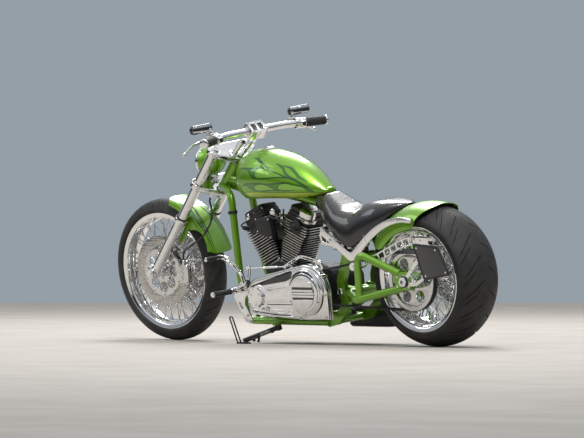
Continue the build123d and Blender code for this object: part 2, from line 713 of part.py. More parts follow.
# Oil tank between the seat tubes, and flat covers outside them
oil_tank = y_plate([(470, 452), (600, 452), (604, 552), (560, 556), (500, 500), (470, 486)], -64, 64, 10)
tank_foot_z = 420 + rail_r + fit_gap
oil_tank += y_plate([(460, tank_foot_z), (482, tank_foot_z), (482, 456), (460, 456)], -40, 40)
add("chassis", "oil_tank", oil_tank)
cover_run = [(436, 494), (460, 470), (592, 490), (604, 530), (592, 572), (552, 546)]
side_cover = y_plate(cover_run, side_cover_y0, side_cover_y1, 6)
side_cover += y_disc(520, 522, 9, 112 + fit_gap, side_cover_y0 + 2)
add("chassis", "side_covers", *both_sides(side_cover))


# Engine: two finned cylinders in a narrow vee on one crankcase
def bank(way):
    """Plane up a cylinder: way 1 leans forward, -1 leans back."""
    a = radians(vee_half) * way
    return Plane((crank_x, 0, crank_z), x_dir=(cos(a), 0, -sin(a)), z_dir=(sin(a), 0, cos(a)))


def cut_box(half_x, half_y, low, high, cut):
    """Block with its four upright corners cut off."""
    points = [(half_x, half_y - cut), (half_x - cut, half_y), (-half_x + cut, half_y), (-half_x, half_y - cut)]
    points += [(-x, -y) for x, y in points]
    return Pos(0, 0, low) * extrude(make_face(Polyline(*points, close=True)), high - low)


def cylinder_barrel():
    top = head_d - fit_gap
    barrel = cut_box(barrel_half, barrel_half, deck_d, top, 18)
    for i in range(fin_count):
        d = fin_start + i * (head_d - fin_start) / fin_count
        grow = fin_spread * (d - fin_start)
        barrel += cut_box(fin_half_x + grow, fin_half_y + grow / 2, d, d + fin_thick, 20)
    return barrel


def cylinder_head():
    head = cut_box(head_half_x - 12, head_half_y - 10, head_d, rocker_d - fit_gap, 20)
    for i in range(head_fins):
        d = head_d + i * (rocker_d - head_d) / head_fins
        head += cut_box(head_half_x, head_half_y, d, d + fin_thick, 20)
    return head + Pos(-3, -head_half_y - 12, rocker_d - fit_gap - 14) * extrude(Rectangle(62, 40), 14)


def rocker_box():
    low = cut_box(rocker_half_x, rocker_half_y, rocker_d, rocker_d + rocker_tall * 0.55, 16)
    return low + cut_box(rocker_half_x - 7, rocker_half_y - 7, rocker_d, rocker_d + rocker_tall, 14)


for name, piece in (("cylinders", cylinder_barrel()), ("cylinder_heads", cylinder_head()), ("rocker_boxes", rocker_box())):
    add("chassis", name, bank(1) * piece, bank(-1) * piece)

case_outline = [
    (812, 168), (860, 142), (1040, 142), (1084, 190), (1084, 300), (1030, 330), (892, 330), (812, 300),
]
crankcase = y_plate(case_outline, -case_half_y, case_half_y, 14)
for way in (1, -1):
    crankcase += bank(way) * cut_box(fin_half_x - 1, fin_half_y - 4, 60, deck_d - fit_gap, 14)
primary_y0 = 172.0
crankcase += y_disc(crank_x, crank_z, 70, case_half_y - 2, primary_y0 - fit_gap)
add("chassis", "crankcase", crankcase)
cam_outline = [(850, 190), (880, 158), (1040, 158), (1066, 190), (1066, 280), (1010, 318), (910, 318), (850, 280)]
cam_cover = y_plate(cam_outline, -case_half_y - fit_gap, -case_half_y - 30, 20)
cam_cover += y_disc(crank_x + 10, crank_z - 20, 46, -case_half_y - 29, -case_half_y - 38)

# Pushrod tubes rise on the right from the cam cover to a shelf on each head
push_y = -case_half_y - 13
for way in (1, -1):
    for x in (-20, 14):
        low = bank(way).from_local_coords(Vector(x * 0.5, push_y, 50))
        high = bank(way).from_local_coords(Vector(x, -head_half_y - 20, rocker_d - 2 * fit_gap - 15))
        cam_cover += rod(low, high, 8)
add("chassis", "cam_cover", cam_cover)

port_d = 335.0
intake = y_plate([(940, 500), (982, 500), (994, 582), (928, 582)], -60, 40, 8)
for way in (1, -1):
    intake += bank(way) * Pos(-way * (head_half_x + fit_gap + 5), 0, port_d) * Box(10, 56, 42)
runner_ends = [bank(way).from_local_coords(Vector(-way * (head_half_x + 10), 0, port_d)) for way in (1, -1)]
intake += rod(*runner_ends, 20)
intake += y_disc(crank_x, 533, 26, -112, -58)
air_cleaner = y_disc(crank_x, 533, 86, -112, -168)
add("chassis", "air_cleaner", intake + chamfer(air_cleaner.edges().filter_by(GeomType.CIRCLE), 8))
coil_cover = y_plate([(936, 506), (1040, 536), (1046, 612), (950, 612)], 88, 116, 8)
coil_cover += y_plate([(1024, 555), (1046, 555), (1046, 585), (1024, 585)], head_half_y + fit_gap, 90)
add("chassis", "coil_cover", coil_cover)

# Gearbox with the front pulley on its output shaft
gearbox = y_plate([(560, 190), (600, 168), (800, 168), (811.7, 190), (811.7, 330), (780, 372), (600, 372), (560, 330)], -94, 94, 16)
gearbox += y_disc(output_x, output_z, 22, 90, pulley_y1)
gearbox += y_disc(output_x, output_z, front_pulley_r, pulley_y0, pulley_y1)
add("chassis", "gearbox", gearbox)

# Primary cover with its raised panel, crank boss and clutch cover
clutch_x = 650.0
clutch_z = 272.0


def primary_outline(shrink):
    ends = Pos(crank_x - 6, crank_z) * Circle(96 - shrink) + Pos(clutch_x, clutch_z) * Circle(132 - shrink)
    tail = Pos(clutch_x - 64, clutch_z - 66) * Rectangle(134 - 2 * shrink, 124 - 2 * shrink)
    return make_hull((ends + tail).edges())


primary = Pos(0, 206, 0) * extrude(Plane.XZ * primary_outline(0), 206 - primary_y0)
primary += Pos(0, 216, 0) * extrude(Plane.XZ * primary_outline(14), 12)
primary += y_disc(clutch_x, clutch_z, 104, 214, 222)
primary += y_plate(
    [(crank_x - 45, crank_z - 26), (crank_x + 45, crank_z - 26), (crank_x + 45, crank_z + 26), (crank_x - 45, crank_z + 26)],
    214, 228, 24,
)
clutch_cover = y_disc(clutch_x, clutch_z, 92, 221, 228) + y_disc(clutch_x, clutch_z, 76, 226, 238)
for z in (-24, 24):
    clutch_cover -= Pos(clutch_x, 238, clutch_z + z) * Box(104, 8, 9)
add("chassis", "primary_cover", primary + clutch_cover)

# Exhaust: two pipes down the right side into a low muffler
front_port = bank(1).from_local_coords(Vector(52, -head_half_y - 2 * fit_gap, head_d + 20))
rear_port = bank(-1).from_local_coords(Vector(-60, -head_half_y - 2 * fit_gap, head_d + 20))
pipe_r = 20.0
pipe_y = -168.0
muffler_top = 150.0
pipe_front = tube(
    [front_port, front_port + Vector(0, -76, 0), (1042, pipe_y + 6, 340), (1018, pipe_y, 105), (730, pipe_y, 105)],
    pipe_r, [32, 60, 60],
)
pipe_rear = tube(
    [rear_port, rear_port + Vector(0, -76, 0), (700, pipe_y, 400), (700, pipe_y, muffler_top - 10)],
    pipe_r, [32, 60],
)
muffler_run = [(740, 60), (740, muffler_top), (360, muffler_top), (330, 118), (352, 72), (480, 60)]
muffler = y_plate(muffler_run, pipe_y - 38, pipe_y + 28, 14)
add("chassis", "exhaust", muffler + pipe_front + pipe_rear)

# Foot controls on plates outside the down tubes
control_y0 = rail_y + rail_r + fit_gap
control_y1 = control_y0 + 8
control_outline = [
    (1082, 304), (1150, 312), (1196, 262), (1206, 236), (1140, 118), (1098, 108), (1090, 128), (1136, 200), (1128, 240), (1082, 262),
]
control_plate = y_plate(control_outline, control_y0, control_y1, 5)
control_plate -= y_plate([(1158, 178), (1176, 208), (1166, 214), (1148, 184)], control_y0 - 1, control_y1 + 1)

base_y = control_y1
peg_at = (1166, 271)


def foot_control():
    """Base block, foot peg along Y and a pierced lever up to the toe peg."""
    made = y_plate([(1084, 264), (1084, 300), (1112, 306), (1184, 286), (1184, 256)], base_y, base_y + 18, 6)
    made += rod((peg_at[0], base_y + 14, peg_at[1]), (peg_at[0] + 22, 305, peg_at[1] - 3), 13)
    lever_run = [(1096, 290), (1114, 352), (1168, 398), (1218, 426), (1256, 431), (1278, 424)]
    lever_plate = y_plate(ribbon(lever_run, 22), base_y + 17, base_y + 27)
    windows = [((1101, 308), (1110, 340)), ((1122, 359), (1160, 391)), ((1176, 402), (1212, 422))]
    for start, end in windows:
        lever_plate -= y_plate(ribbon([start, end], 9), base_y + 16, base_y + 28)
    made += lever_plate
    return made + rod((1274, base_y + 20, 426), (1274, 240, 426), 11)


add("chassis", "foot_controls", *both_sides(control_plate + foot_control()))

# Shift linkage: an arm on the left lever, a rod back to the gearbox shaft, and the shaft's arm
rod_y = 186.0
lever_face_y = base_y + 27
shift = rod((1052, rod_y, 379), (790, rod_y, 391), 4)
shift += rod((930, rod_y, 384.6), (860, rod_y, 387.8), 7)
shift += y_plate(ribbon([(1052, 384), (1062, 330), (1100, 292)], 14), lever_face_y + fit_gap, lever_face_y + 7)
shift += y_disc(1052, 379, 7, lever_face_y + 4, rod_y + 6)
shift += y_disc(756, 352, 9, 94 + fit_gap, 160)
shift += y_plate(ribbon([(750, 345), (792, 393)], 14), 150, 160)
shift += y_disc(790, 391, 6, 155, rod_y + 4)
shift_strap = y_plate(ribbon([(796, 386), (784, 398), (688, 438), (560, 412), (548, 384)], 14), rod_y - 5, rod_y + 5)
add("chassis", "shift_linkage", shift + shift_strap)

# Rear caliper on the right, front calipers behind the legs
caliper_slot = disc_thick + 2 * pad_gap


def caliper(radius, y, angle, inner_y, outer_y):
    """Block astride a disc, drawn about the axle."""
    block = [(radius - 56, -46), (radius + 20, -46), (radius + 20, 46), (radius - 56, 46)]
    body = y_plate(block, inner_y, outer_y, 12)
    body -= Pos(0, y + disc_thick + pad_gap, 0) * extrude(Plane.XZ * Circle(radius + 4), caliper_slot)
    return Rot(0, -angle, 0) * body


front_caliper = caliper(front_disc_r, front_disc_y, 184, 42, 84)
mount_run = [(-150, 20), (-128, 60), (-70, 112), (-44, 84), (-96, 34), (-112, 0)]
front_caliper += y_plate(mount_run, 74, leg_y - slider_r - fit_gap)
add("steering", "front_calipers", *both_sides(on_axle(front_caliper, front_centre)))
hose_end = front_centre + Vector(-163, 78, 35.4)
hose_bends = [(-408, 86, 295.4), (-394, 94, 235.4), (-330, 96, 169.4), (-238, 92, 125.4), (-170, 78, 95.4)]
hose_run = [fork_point(-60, 60, lower_yoke_s - 2 * fit_gap), fork_point(-60, 60, lower_yoke_s - 40)]
hose_run += [front_centre + Vector(*bend) for bend in hose_bends] + [hose_end]
add("steering", "brake_hose", tube(hose_run, 5, 24))
rear_caliper = mirror(caliper(rear_disc_r, rear_disc_y, 48, 96, 140), about=Plane.XZ)
rear_mount = [(40, 30), (92, 40), (120, 66), (96, 100), (60, 96)]
rear_caliper += y_plate(rear_mount, -126, -arm_y + arm_r + fit_gap)
add("chassis", "rear_caliper", on_axle(rear_caliper, rear_centre))

# Belt guard: a ladder above the belt's upper run
guard_y0 = 170.0
guard_run = [(362, 393), (218, 426), (110, 470), (0, 512), (-110, 518), (-150, 512)]
guard_wide = 40.0
guard = band(guard_run, guard_wide, 60, guard_y0, guard_y0 + 4)
guard_rungs = 4
rung_pitch = 42.0
for i in range(guard_rungs):
    x = guard_run[0][0] - 17 - i * rung_pitch
    z = guard_run[0][1] + 4 + i * rung_pitch * 0.229
    guard -= y_plate([(x, z - 13), (x - 28, z - 6.6), (x - 28, z + 19.4), (x, z + 13)], guard_y0 - 1, guard_y0 + 5)
add("chassis", "belt_guard", guard)

# Number plate on a bracket under the left axle nut
plate_y = 230.0
bracket = y_plate(ribbon([(0, rear_axle_z), (-96, 430), (-150, 470)], 24), arm_y + 15 + fit_gap, axle_nut_y - fit_gap)
bracket += y_disc(0, rear_axle_z, 30, arm_y + 15 + fit_gap, axle_nut_y - fit_gap)
bracket -= y_disc(0, rear_axle_z, rear_axle_r + fit_gap, arm_y, axle_nut_y + 1)
bracket += y_disc(-140, 462, 8, axle_nut_y - 3, plate_y - fit_gap)
add("chassis", "plate_bracket", bracket)
number_plate = y_plate([(-94, 512), (-258, 502), (-320, 367), (-150, 340)], plate_y, plate_y + 4, 10)
add("chassis", "number_plate", number_plate)

# Side stand: a leg from the left rail down to its foot, and a loop to push it out with the heel
foot_z = foot_y * tan(lean_rad)
leg_section = Plane(hinge_at, x_dir=hinge_dir.cross(leg_out), z_dir=leg_out) * RectangleRounded(stand_bar, 22, 5)
stand = extrude(leg_section, leg_out.length)
stand += hinge * (Pos(0, 0, -knuckle_half) * extrude(Circle(knuckle_r), 2 * knuckle_half))
stand += extrude(Plane((foot_x, foot_y, foot_z), x_dir=(1, 0, 0), z_dir=ground_n) * RectangleRounded(74, 34, 10), 8)
loop_low = Vector(foot_x + 22, foot_y + 6, foot_z + 6)
loop_run = [
    loop_low + Vector(-9, 0, 0), loop_low + Vector(6, 26, 126), loop_low + Vector(26, 26, 126), loop_low + Vector(13, 0, 0),
]
stand += tube(loop_run, 3.5, 9)
stand -= hinge * (Pos(0, 0, -40) * extrude(Circle(stand_pin_r + fit_gap), 80))
add("side_stand", "side_stand", stand)

# Lean the machine on its stand and put the origin under the middle of it
leaning = Rot(-lean, 0, 0)


def standing(shape, body):
    if body in ("steering", "front_wheel"):
        shape = shape.rotate(steer_axis, steer_rest)
    return leaning * shape


placed = {name: (body, [standing(s, body) for s in solids]) for name, (body, solids) in nodes.items()}
boxes = [s.bounding_box() for _, solids in placed.values() for s in solids]
low = [min(getattr(b.min, k) for b in boxes) for k in "XYZ"]
high = [max(getattr(b.max, k) for b in boxes) for k in "XYZ"]
origin = Vector((low[0] + high[0]) / 2, (low[1] + high[1]) / 2, low[2])
os.makedirs("parts", exist_ok=True)
for name, (body, solids) in placed.items():
    moved = [Pos(-origin.X, -origin.Y, -origin.Z) * s for s in solids]
    export_step(moved[0] if len(moved) == 1 else Compound(children=moved), f"parts/{name}.step")


def final_point(point, steered=False):
    if steered:
        point = turned(point, steer_rest, front_axle_z)
    spot = leaning * Vertex(*point)
    return [round(v, 7) for v in (spot.center() - origin) / 1000]


def final_direction(direction, steered=False):
    a, b = final_point((0, 0, 0), steered), final_point(Vector(*direction) * 1000, steered)
    return [round(q - p, 6) for p, q in zip(a, b)]


print("size", [round(h - l, 1) for l, h in zip(low, high)], "lowest", round(low[2], 3))
print("steer", final_point(fork_point(-fork_offset, 0, 650)), final_direction(fork.z_dir))
print("front_spin", final_point(front_centre, True), final_direction((0, 1, 0), True))
print("rear_spin", final_point(rear_centre), final_direction((0, 1, 0)))
print("stand", final_point(hinge_at), final_direction(hinge_dir), "foot", final_point((foot_x, foot_y, foot_z)))
print("axle ends", final_point((0, axle_end, rear_axle_z)), final_point((0, -axle_end, rear_axle_z)))
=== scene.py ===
import json
import math
from math import cos, pi, radians, sin, sqrt

import bmesh
import bpy
from mathutils import Matrix, Vector
from mathutils.bvhtree import BVHTree


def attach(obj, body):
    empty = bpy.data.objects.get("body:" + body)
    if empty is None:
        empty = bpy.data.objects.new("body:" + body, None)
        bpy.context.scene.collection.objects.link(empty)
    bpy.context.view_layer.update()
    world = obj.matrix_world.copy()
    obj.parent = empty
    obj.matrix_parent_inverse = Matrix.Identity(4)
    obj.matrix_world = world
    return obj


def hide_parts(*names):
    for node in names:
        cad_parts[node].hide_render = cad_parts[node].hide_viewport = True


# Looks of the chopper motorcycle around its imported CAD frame
# Pieces are drawn in the CAD source's upright millimetres, then placed by their body's matrix

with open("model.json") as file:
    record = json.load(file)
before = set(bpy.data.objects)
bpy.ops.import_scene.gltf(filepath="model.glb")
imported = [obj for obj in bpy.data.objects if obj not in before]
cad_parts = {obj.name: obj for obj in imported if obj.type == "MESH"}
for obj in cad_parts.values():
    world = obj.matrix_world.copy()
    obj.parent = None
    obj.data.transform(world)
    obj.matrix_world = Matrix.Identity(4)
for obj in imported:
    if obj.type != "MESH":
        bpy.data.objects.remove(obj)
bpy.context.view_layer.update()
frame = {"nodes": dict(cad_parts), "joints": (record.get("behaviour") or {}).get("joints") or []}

# The CAD source's parked angles in degrees, and its lengths in millimetres
LEAN = 7.5
STEER = 1.5
RAKE = 40.0
FORK_OFFSET = 65.0
REAR_Z = 330.467
WHEELBASE = 1770.0


def at(x, y, z):
    return Matrix.Translation((x, y, z))


def joint(name):
    return next(j for j in frame["joints"] if j["name"] == name)


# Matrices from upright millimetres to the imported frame
upright = (
    Matrix.Translation(joint("rear_spin")["pos_m"])
    @ Matrix.Rotation(-radians(LEAN), 4, "X")
    @ Matrix.Scale(0.001, 4)
    @ at(0, 0, -REAR_Z)
)
steer_at = Vector(joint("steer")["pos_m"])
steer_turn = Matrix.Rotation(radians(STEER), 4, Vector(joint("steer")["axis"]))
steered = Matrix.Translation(steer_at) @ steer_turn @ Matrix.Translation(-steer_at) @ upright
FRONT_Z = (steered.inverted() @ Vector(joint("front_spin")["pos_m"])).z
fork_turn = Matrix.Rotation(-radians(RAKE), 4, "Y")
fork_frame = at(WHEELBASE, 0, FRONT_Z) @ fork_turn
PLACES = {
    "chassis": upright,
    "side_stand": upright,
    "steering": steered,
    "fork": steered @ fork_frame,
    "front_wheel": steered @ at(WHEELBASE, 0, FRONT_Z),
    "rear_wheel": upright @ at(0, 0, REAR_Z),
}
BODY_OF = {"fork": "steering"}


def fork_point(x, y, s):
    """Upright point x ahead of the leg line, y to the left and s up the leg."""
    return fork_frame @ Vector((x, y, s))


# Materials: colour, roughness and relief vary by noise in object space
def link_range(tree, source, low, high, target):
    node = tree.nodes.new("ShaderNodeMapRange")
    node.inputs["From Min"].default_value = 0.3
    node.inputs["From Max"].default_value = 0.7
    node.inputs["To Min"].default_value = low
    node.inputs["To Max"].default_value = high
    tree.links.new(source, node.inputs["Value"])
    tree.links.new(node.outputs["Result"], target)


def noise(tree, scale, detail=4.0):
    coords = tree.nodes.new("ShaderNodeTexCoord")
    node = tree.nodes.new("ShaderNodeTexNoise")
    node.inputs["Scale"].default_value = scale
    node.inputs["Detail"].default_value = detail
    tree.links.new(coords.outputs["Object"], node.inputs["Vector"])
    return node.outputs["Fac"]


# In metres, the radius of the edges that the shader rounds and the depth of its relief
EDGE = 0.0012
RELIEF = 0.0004


def surface(
    name, dark, light, rough, metallic=0.0, scale=60.0, bump=0.0, bump_scale=900.0, edge=0.0, coat=0.0,
    cells=False,
):
    """Principled material: colour from dark to light and roughness in a range by noise, with fine relief."""
    made = bpy.data.materials.new(name)
    made.use_nodes = True
    tree = made.node_tree
    shader = tree.nodes["Principled BSDF"]
    shader.inputs["Metallic"].default_value = metallic
    shader.inputs["Coat Weight"].default_value = coat
    shader.inputs["Coat Roughness"].default_value = 0.03
    field = noise(tree, scale)
    ramp = tree.nodes.new("ShaderNodeMix")
    ramp.data_type = "RGBA"
    ramp.inputs["A"].default_value = (*dark, 1)
    ramp.inputs["B"].default_value = (*light, 1)
    link_range(tree, field, 0.0, 1.0, ramp.inputs["Factor"])
    tree.links.new(ramp.outputs["Result"], shader.inputs["Base Color"])
    link_range(tree, noise(tree, scale * 0.37), rough[0], rough[1], shader.inputs["Roughness"])
    normal = None
    if edge:
        bevel = tree.nodes.new("ShaderNodeBevel")
        bevel.samples = 4
        bevel.inputs["Radius"].default_value = edge
        normal = bevel.outputs["Normal"]
    if bump:
        relief = tree.nodes.new("ShaderNodeBump")
        relief.inputs["Strength"].default_value = bump
        relief.inputs["Distance"].default_value = RELIEF
        if cells:
            coords = tree.nodes.new("ShaderNodeTexCoord")
            cell = tree.nodes.new("ShaderNodeTexVoronoi")
            cell.feature = "DISTANCE_TO_EDGE"
            cell.inputs["Scale"].default_value = bump_scale
            tree.links.new(coords.outputs["Object"], cell.inputs["Vector"])
            tree.links.new(cell.outputs["Distance"], relief.inputs["Height"])
        else:
            tree.links.new(noise(tree, bump_scale, 2.0), relief.inputs["Height"])
        if normal:
            tree.links.new(normal, relief.inputs["Normal"])
        normal = relief.outputs["Normal"]
    if normal:
        tree.links.new(normal, shader.inputs["Normal"])
    return made


def grey(dark, light):
    return (dark, dark, dark), (light, light, light)


GREEN = ((0.13, 0.33, 0.005), (0.2, 0.44, 0.01))
M = {
    "paint": surface("lime_paint", *GREEN, (0.3, 0.38), 0.55, 1400, coat=1.0),
    "paint_edge": surface("lime_paint_cad", *GREEN, (0.3, 0.38), 0.55, 1400, edge=EDGE, coat=1.0),
    "flame": surface(
        "flame_green", (0.045, 0.2, 0.006), (0.075, 0.28, 0.01), (0.2, 0.26), 0.35, 1400, coat=1.0
    ),
    "flame_line": surface(
        "flame_outline", (0.01, 0.05, 0.012), (0.015, 0.075, 0.02), (0.25, 0.3), 0.3, 900, coat=1.0
    ),
    "flame_light": surface(
        "flame_light_green", (0.2, 0.46, 0.035), (0.26, 0.55, 0.05), (0.2, 0.26), 0.35, 1400, coat=1.0
    ),
    "gloss_trim": surface("seat_piping", *grey(0.008, 0.014), (0.25, 0.35), 0.0, 90, 0.1, 900),
    "stripe": surface(
        "stripe_green", (0.38, 0.55, 0.01), (0.46, 0.62, 0.02), (0.2, 0.26), 0.35, 1400, coat=1.0
    ),
    "chrome": surface("chrome", *grey(0.78, 0.86), (0.03, 0.07), 1.0, 30),
    "chrome_edge": surface("chrome_cad", *grey(0.78, 0.86), (0.03, 0.07), 1.0, 30, edge=EDGE),
    "black": surface(
        "black_enamel", (0.010, 0.010, 0.011), (0.02, 0.02, 0.021), (0.32, 0.45), 0.0, 120, 0.12, 1600, EDGE
    ),
    "cast": surface(
        "black_cast", (0.012, 0.012, 0.013), (0.026, 0.026, 0.028), (0.45, 0.62), 0.0, 150, 0.5, 900, EDGE
    ),
    "fin_edge": surface(
        "machined_fin_edge", (0.5, 0.5, 0.49), (0.68, 0.67, 0.65), (0.22, 0.34), 1.0, 500, 0.1, 2500
    ),
    "alloy": surface(
        "polished_alloy", (0.6, 0.6, 0.59), (0.72, 0.72, 0.71), (0.1, 0.2), 1.0, 70, 0.05, 1200, EDGE
    ),
    "steel": surface(
        "turned_steel", (0.42, 0.41, 0.4), (0.58, 0.57, 0.55), (0.22, 0.34), 1.0, 300, 0.15, 1800
    ),
    "tyre": surface(
        "tyre_rubber", (0.012, 0.012, 0.012), (0.026, 0.025, 0.024), (0.55, 0.75), 0.0, 25, 0.4, 1300
    ),
    "leather": surface(
        "black_leather", (0.008, 0.008, 0.008), (0.016, 0.015, 0.015), (0.24, 0.34), 0.0, 40, 0.2, 620,
        coat=0.7, cells=True,
    ),
    "rubber": surface("black_rubber", *grey(0.012, 0.024), (0.55, 0.7), 0.0, 80, 0.3, 1100, EDGE),
    "gloss": surface(
        "gloss_case", (0.012, 0.012, 0.013), (0.022, 0.022, 0.024), (0.1, 0.16), 0.0, 60, edge=EDGE, coat=0.6
    ),
    "plate": surface(
        "dark_plate", (0.018, 0.02, 0.024), (0.03, 0.032, 0.038), (0.16, 0.24), 0.2, 500, edge=EDGE, coat=0.7
    ),
    "hose": surface("hose_sheath", *grey(0.014, 0.03), (0.4, 0.55), 0.0, 200, 0.4, 1500),
    "mirror": surface("mirror_glass", (0.82, 0.83, 0.84), (0.88, 0.89, 0.9), (0.01, 0.02), 1.0, 20),
}
lens = surface("lamp_glass", (0.86, 0.88, 0.9), (0.93, 0.95, 0.96), (0.01, 0.04), 0.0, 40, 0.3, 220)
lens.node_tree.nodes["Principled BSDF"].inputs["Transmission Weight"].default_value = 0.9
lens.node_tree.nodes["Principled BSDF"].inputs["IOR"].default_value = 1.45
M["lens"] = lens

# CAD nodes that keep their shape get these finishes
FINISH = {
    "paint_edge": ["frame", "fuel_tank", "front_fender", "rear_fender", "swingarm", "headlamp"],
    "chrome_edge": [
        "fork_legs", "lower_yoke", "upper_yoke", "handlebar", "hand_controls", "front_rim", "rear_rim",
        "front_hub_spokes", "rear_hub_spokes", "primary_cover", "fender_struts", "oil_tank", "side_covers",
        "foot_controls", "shift_linkage", "fuel_cap", "belt_guard", "plate_bracket", "rear_axle",
        "front_axle", "air_cleaner", "rear_pulley",
    ],
    "black": ["coil_cover", "exhaust", "side_stand", "rocker_boxes"],
    "cast": ["crankcase", "gearbox", "cam_cover", "cylinders", "cylinder_heads"],
    "alloy": ["front_calipers", "rear_caliper"], "steel": ["front_discs", "rear_disc"],
    "tyre": ["front_tyre", "rear_tyre"], "leather": ["seat"], "rubber": ["drive_belt", "grips"],
    "hose": ["brake_hose"], "gloss": ["mirrors"], "plate": ["number_plate"], "lens": ["headlamp_lens"],
}
for finish, names in FINISH.items():
    for name in names:
        node = frame["nodes"][name]
        node.data.materials.clear()
        node.data.materials.append(M[finish])


# Mesh tools: a solid is (points, faces), turned about Y or thickened along it
def quads(rows, n, round_rows, round_points):
    """Faces between rows of n points; the last row or point may join the first."""
    faces = []
    for i in range(rows if round_rows else rows - 1):
        j = (i + 1) % rows
        for k in range(n if round_points else n - 1):
            m = (k + 1) % n
            faces.append((i * n + k, i * n + m, j * n + m, j * n + k))
    return faces


def lathe(profile, segments=64, closed=False):
    """Turns a run of (radius, y) about Y."""
    points = []
    for i in range(segments):
        a = 2 * pi * i / segments
        points += [(r * cos(a), y, r * sin(a)) for r, y in profile]
    return points, quads(segments, len(profile), True, closed)


def rounded(points, radius, steps=5):
    """The run of points with each inner corner rounded."""
    points = [Vector(p) for p in points]
    made = [points[0]]
    for before, corner, after in zip(points, points[1:], points[2:]):
        a, b = (before - corner), (after - corner)
        reach = min(radius, a.length * 0.49, b.length * 0.49)
        start, end = corner + a.normalized() * reach, corner + b.normalized() * reach
        for i in range(steps + 1):
            t = i / steps
            made.append(start.lerp(corner, t).lerp(corner.lerp(end, t), t))
    return made + [points[-1]]


def tube(points, radius, sides=12):
    """Round tube along points; radius is a number or one for each point."""
    points = [Vector(p) for p in points]
    n = len(points)
    radii = radius if isinstance(radius, (list, tuple)) else [radius] * n
    made, across = [], None
    for i, p in enumerate(points):
        along = (points[min(i + 1, n - 1)] - points[max(i - 1, 0)]).normalized()
        if across is None:
            across = along.orthogonal().normalized()
        across = (across - along * across.dot(along)).normalized()
        other = along.cross(across)
        for k in range(sides):
            a = 2 * pi * k / sides
            made.append(tuple(p + (across * cos(a) + other * sin(a)) * radii[i]))
    caps = [tuple(reversed(range(sides))), tuple(range((n - 1) * sides, n * sides))]
    return made, quads(n, sides, False, True) + caps


def plate(outlines, y0, y1, edge=1.0, steps=2):
    """Plate from (x, z) outlines, the first outside and the rest holes, with rounded edges."""
    curve = bpy.data.curves.new("plate", "CURVE")
    curve.dimensions = "2D"
    curve.fill_mode = "BOTH"
    curve.extrude = max(abs(y1 - y0) / 2 - edge, 0.01)
    curve.bevel_depth = edge
    curve.bevel_resolution = steps
    curve.offset = -edge
    for outline in outlines:
        spline = curve.splines.new("POLY")
        spline.points.add(len(outline) - 1)
        for point, (x, z) in zip(spline.points, outline):
            point.co = (x, z, 0, 1)
        spline.use_cyclic_u = True
    holder = bpy.data.objects.new("plate", curve)
    mesh = bpy.data.meshes.new_from_object(holder)
    middle = (y0 + y1) / 2
    points = [(v.co.x, middle - v.co.z, v.co.y) for v in mesh.vertices]
    faces = [tuple(p.vertices) for p in mesh.polygons]
    bpy.data.objects.remove(holder)
    bpy.data.curves.remove(curve)
    bpy.data.meshes.remove(mesh)
    return points, faces


def circle(x, z, radius, n=32, first=0.0):
    """Points round a centre, from a first angle in radians on."""
    angles = [2 * pi * i / n + first for i in range(n)]
    return [(x + radius * cos(a), z + radius * sin(a)) for a in angles]


def soften(outline, radius, steps=4):
    """Closed outline with rounded corners."""
    points = [Vector(p) for p in outline]
    made = []
    for i, corner in enumerate(points):
        a, b = points[i - 1] - corner, points[(i + 1) % len(points)] - corner
        reach = min(radius, a.length * 0.49, b.length * 0.49)
        start, end = corner + a.normalized() * reach, corner + b.normalized() * reach
        for k in range(steps + 1):
            t = k / steps
            spot = start.lerp(corner, t).lerp(corner.lerp(end, t), t)
            made.append((spot.x, spot.y))
    return made


def hull(points):
    """Convex outline round (x, z) points."""
    ordered = sorted(points)
    runs = []
    for source in (ordered, ordered[::-1]):
        run = []
        for p in source:
            while len(run) > 1:
                (ax, ay), (bx, by) = run[-2], run[-1]
                if (bx - ax) * (p[1] - ay) - (by - ay) * (p[0] - ax) > 0:
                    break
                run.pop()
            run.append(p)
        runs += run[:-1]
    return runs


def pin(radius, y0, y1, segments=20):
    """Plain cylinder along Y."""
    return lathe(oblong(0, radius, y0, y1), segments)


def pad(outline, corner, y0, y1, edge=1.0, steps=2):
    """Plate of one outline whose corners are rounded."""
    return plate([soften(outline, corner)], y0, y1, edge, steps)


def oblong(x0, x1, z0, z1):
    return [(x0, z0), (x1, z0), (x1, z1), (x0, z1)]


def block(x0, x1, y0, y1, z0, z1, edge=1.5):
    return plate([oblong(x0, x1, z0, z1)], y0, y1, edge)


def turn_to(direction, spot):
    """Matrix that takes the Y axis to a direction, at a point."""
    return at(*spot) @ Vector(direction).to_track_quat("Y", "Z").to_matrix().to_4x4()


BOLT = [(0, 0), (1, 0), (1, 0.8), (0.85, 1.0), (0.5, 1.0), (0.42, 0.55), (0, 0.55)]


def bolt(radius, height, sides=12):
    """Socket-head bolt rising along Y."""
    return lathe([(r * radius, y * height) for r, y in BOLT], sides)


# Points nearer than this, in millimetres, are joined
WELD = 0.002


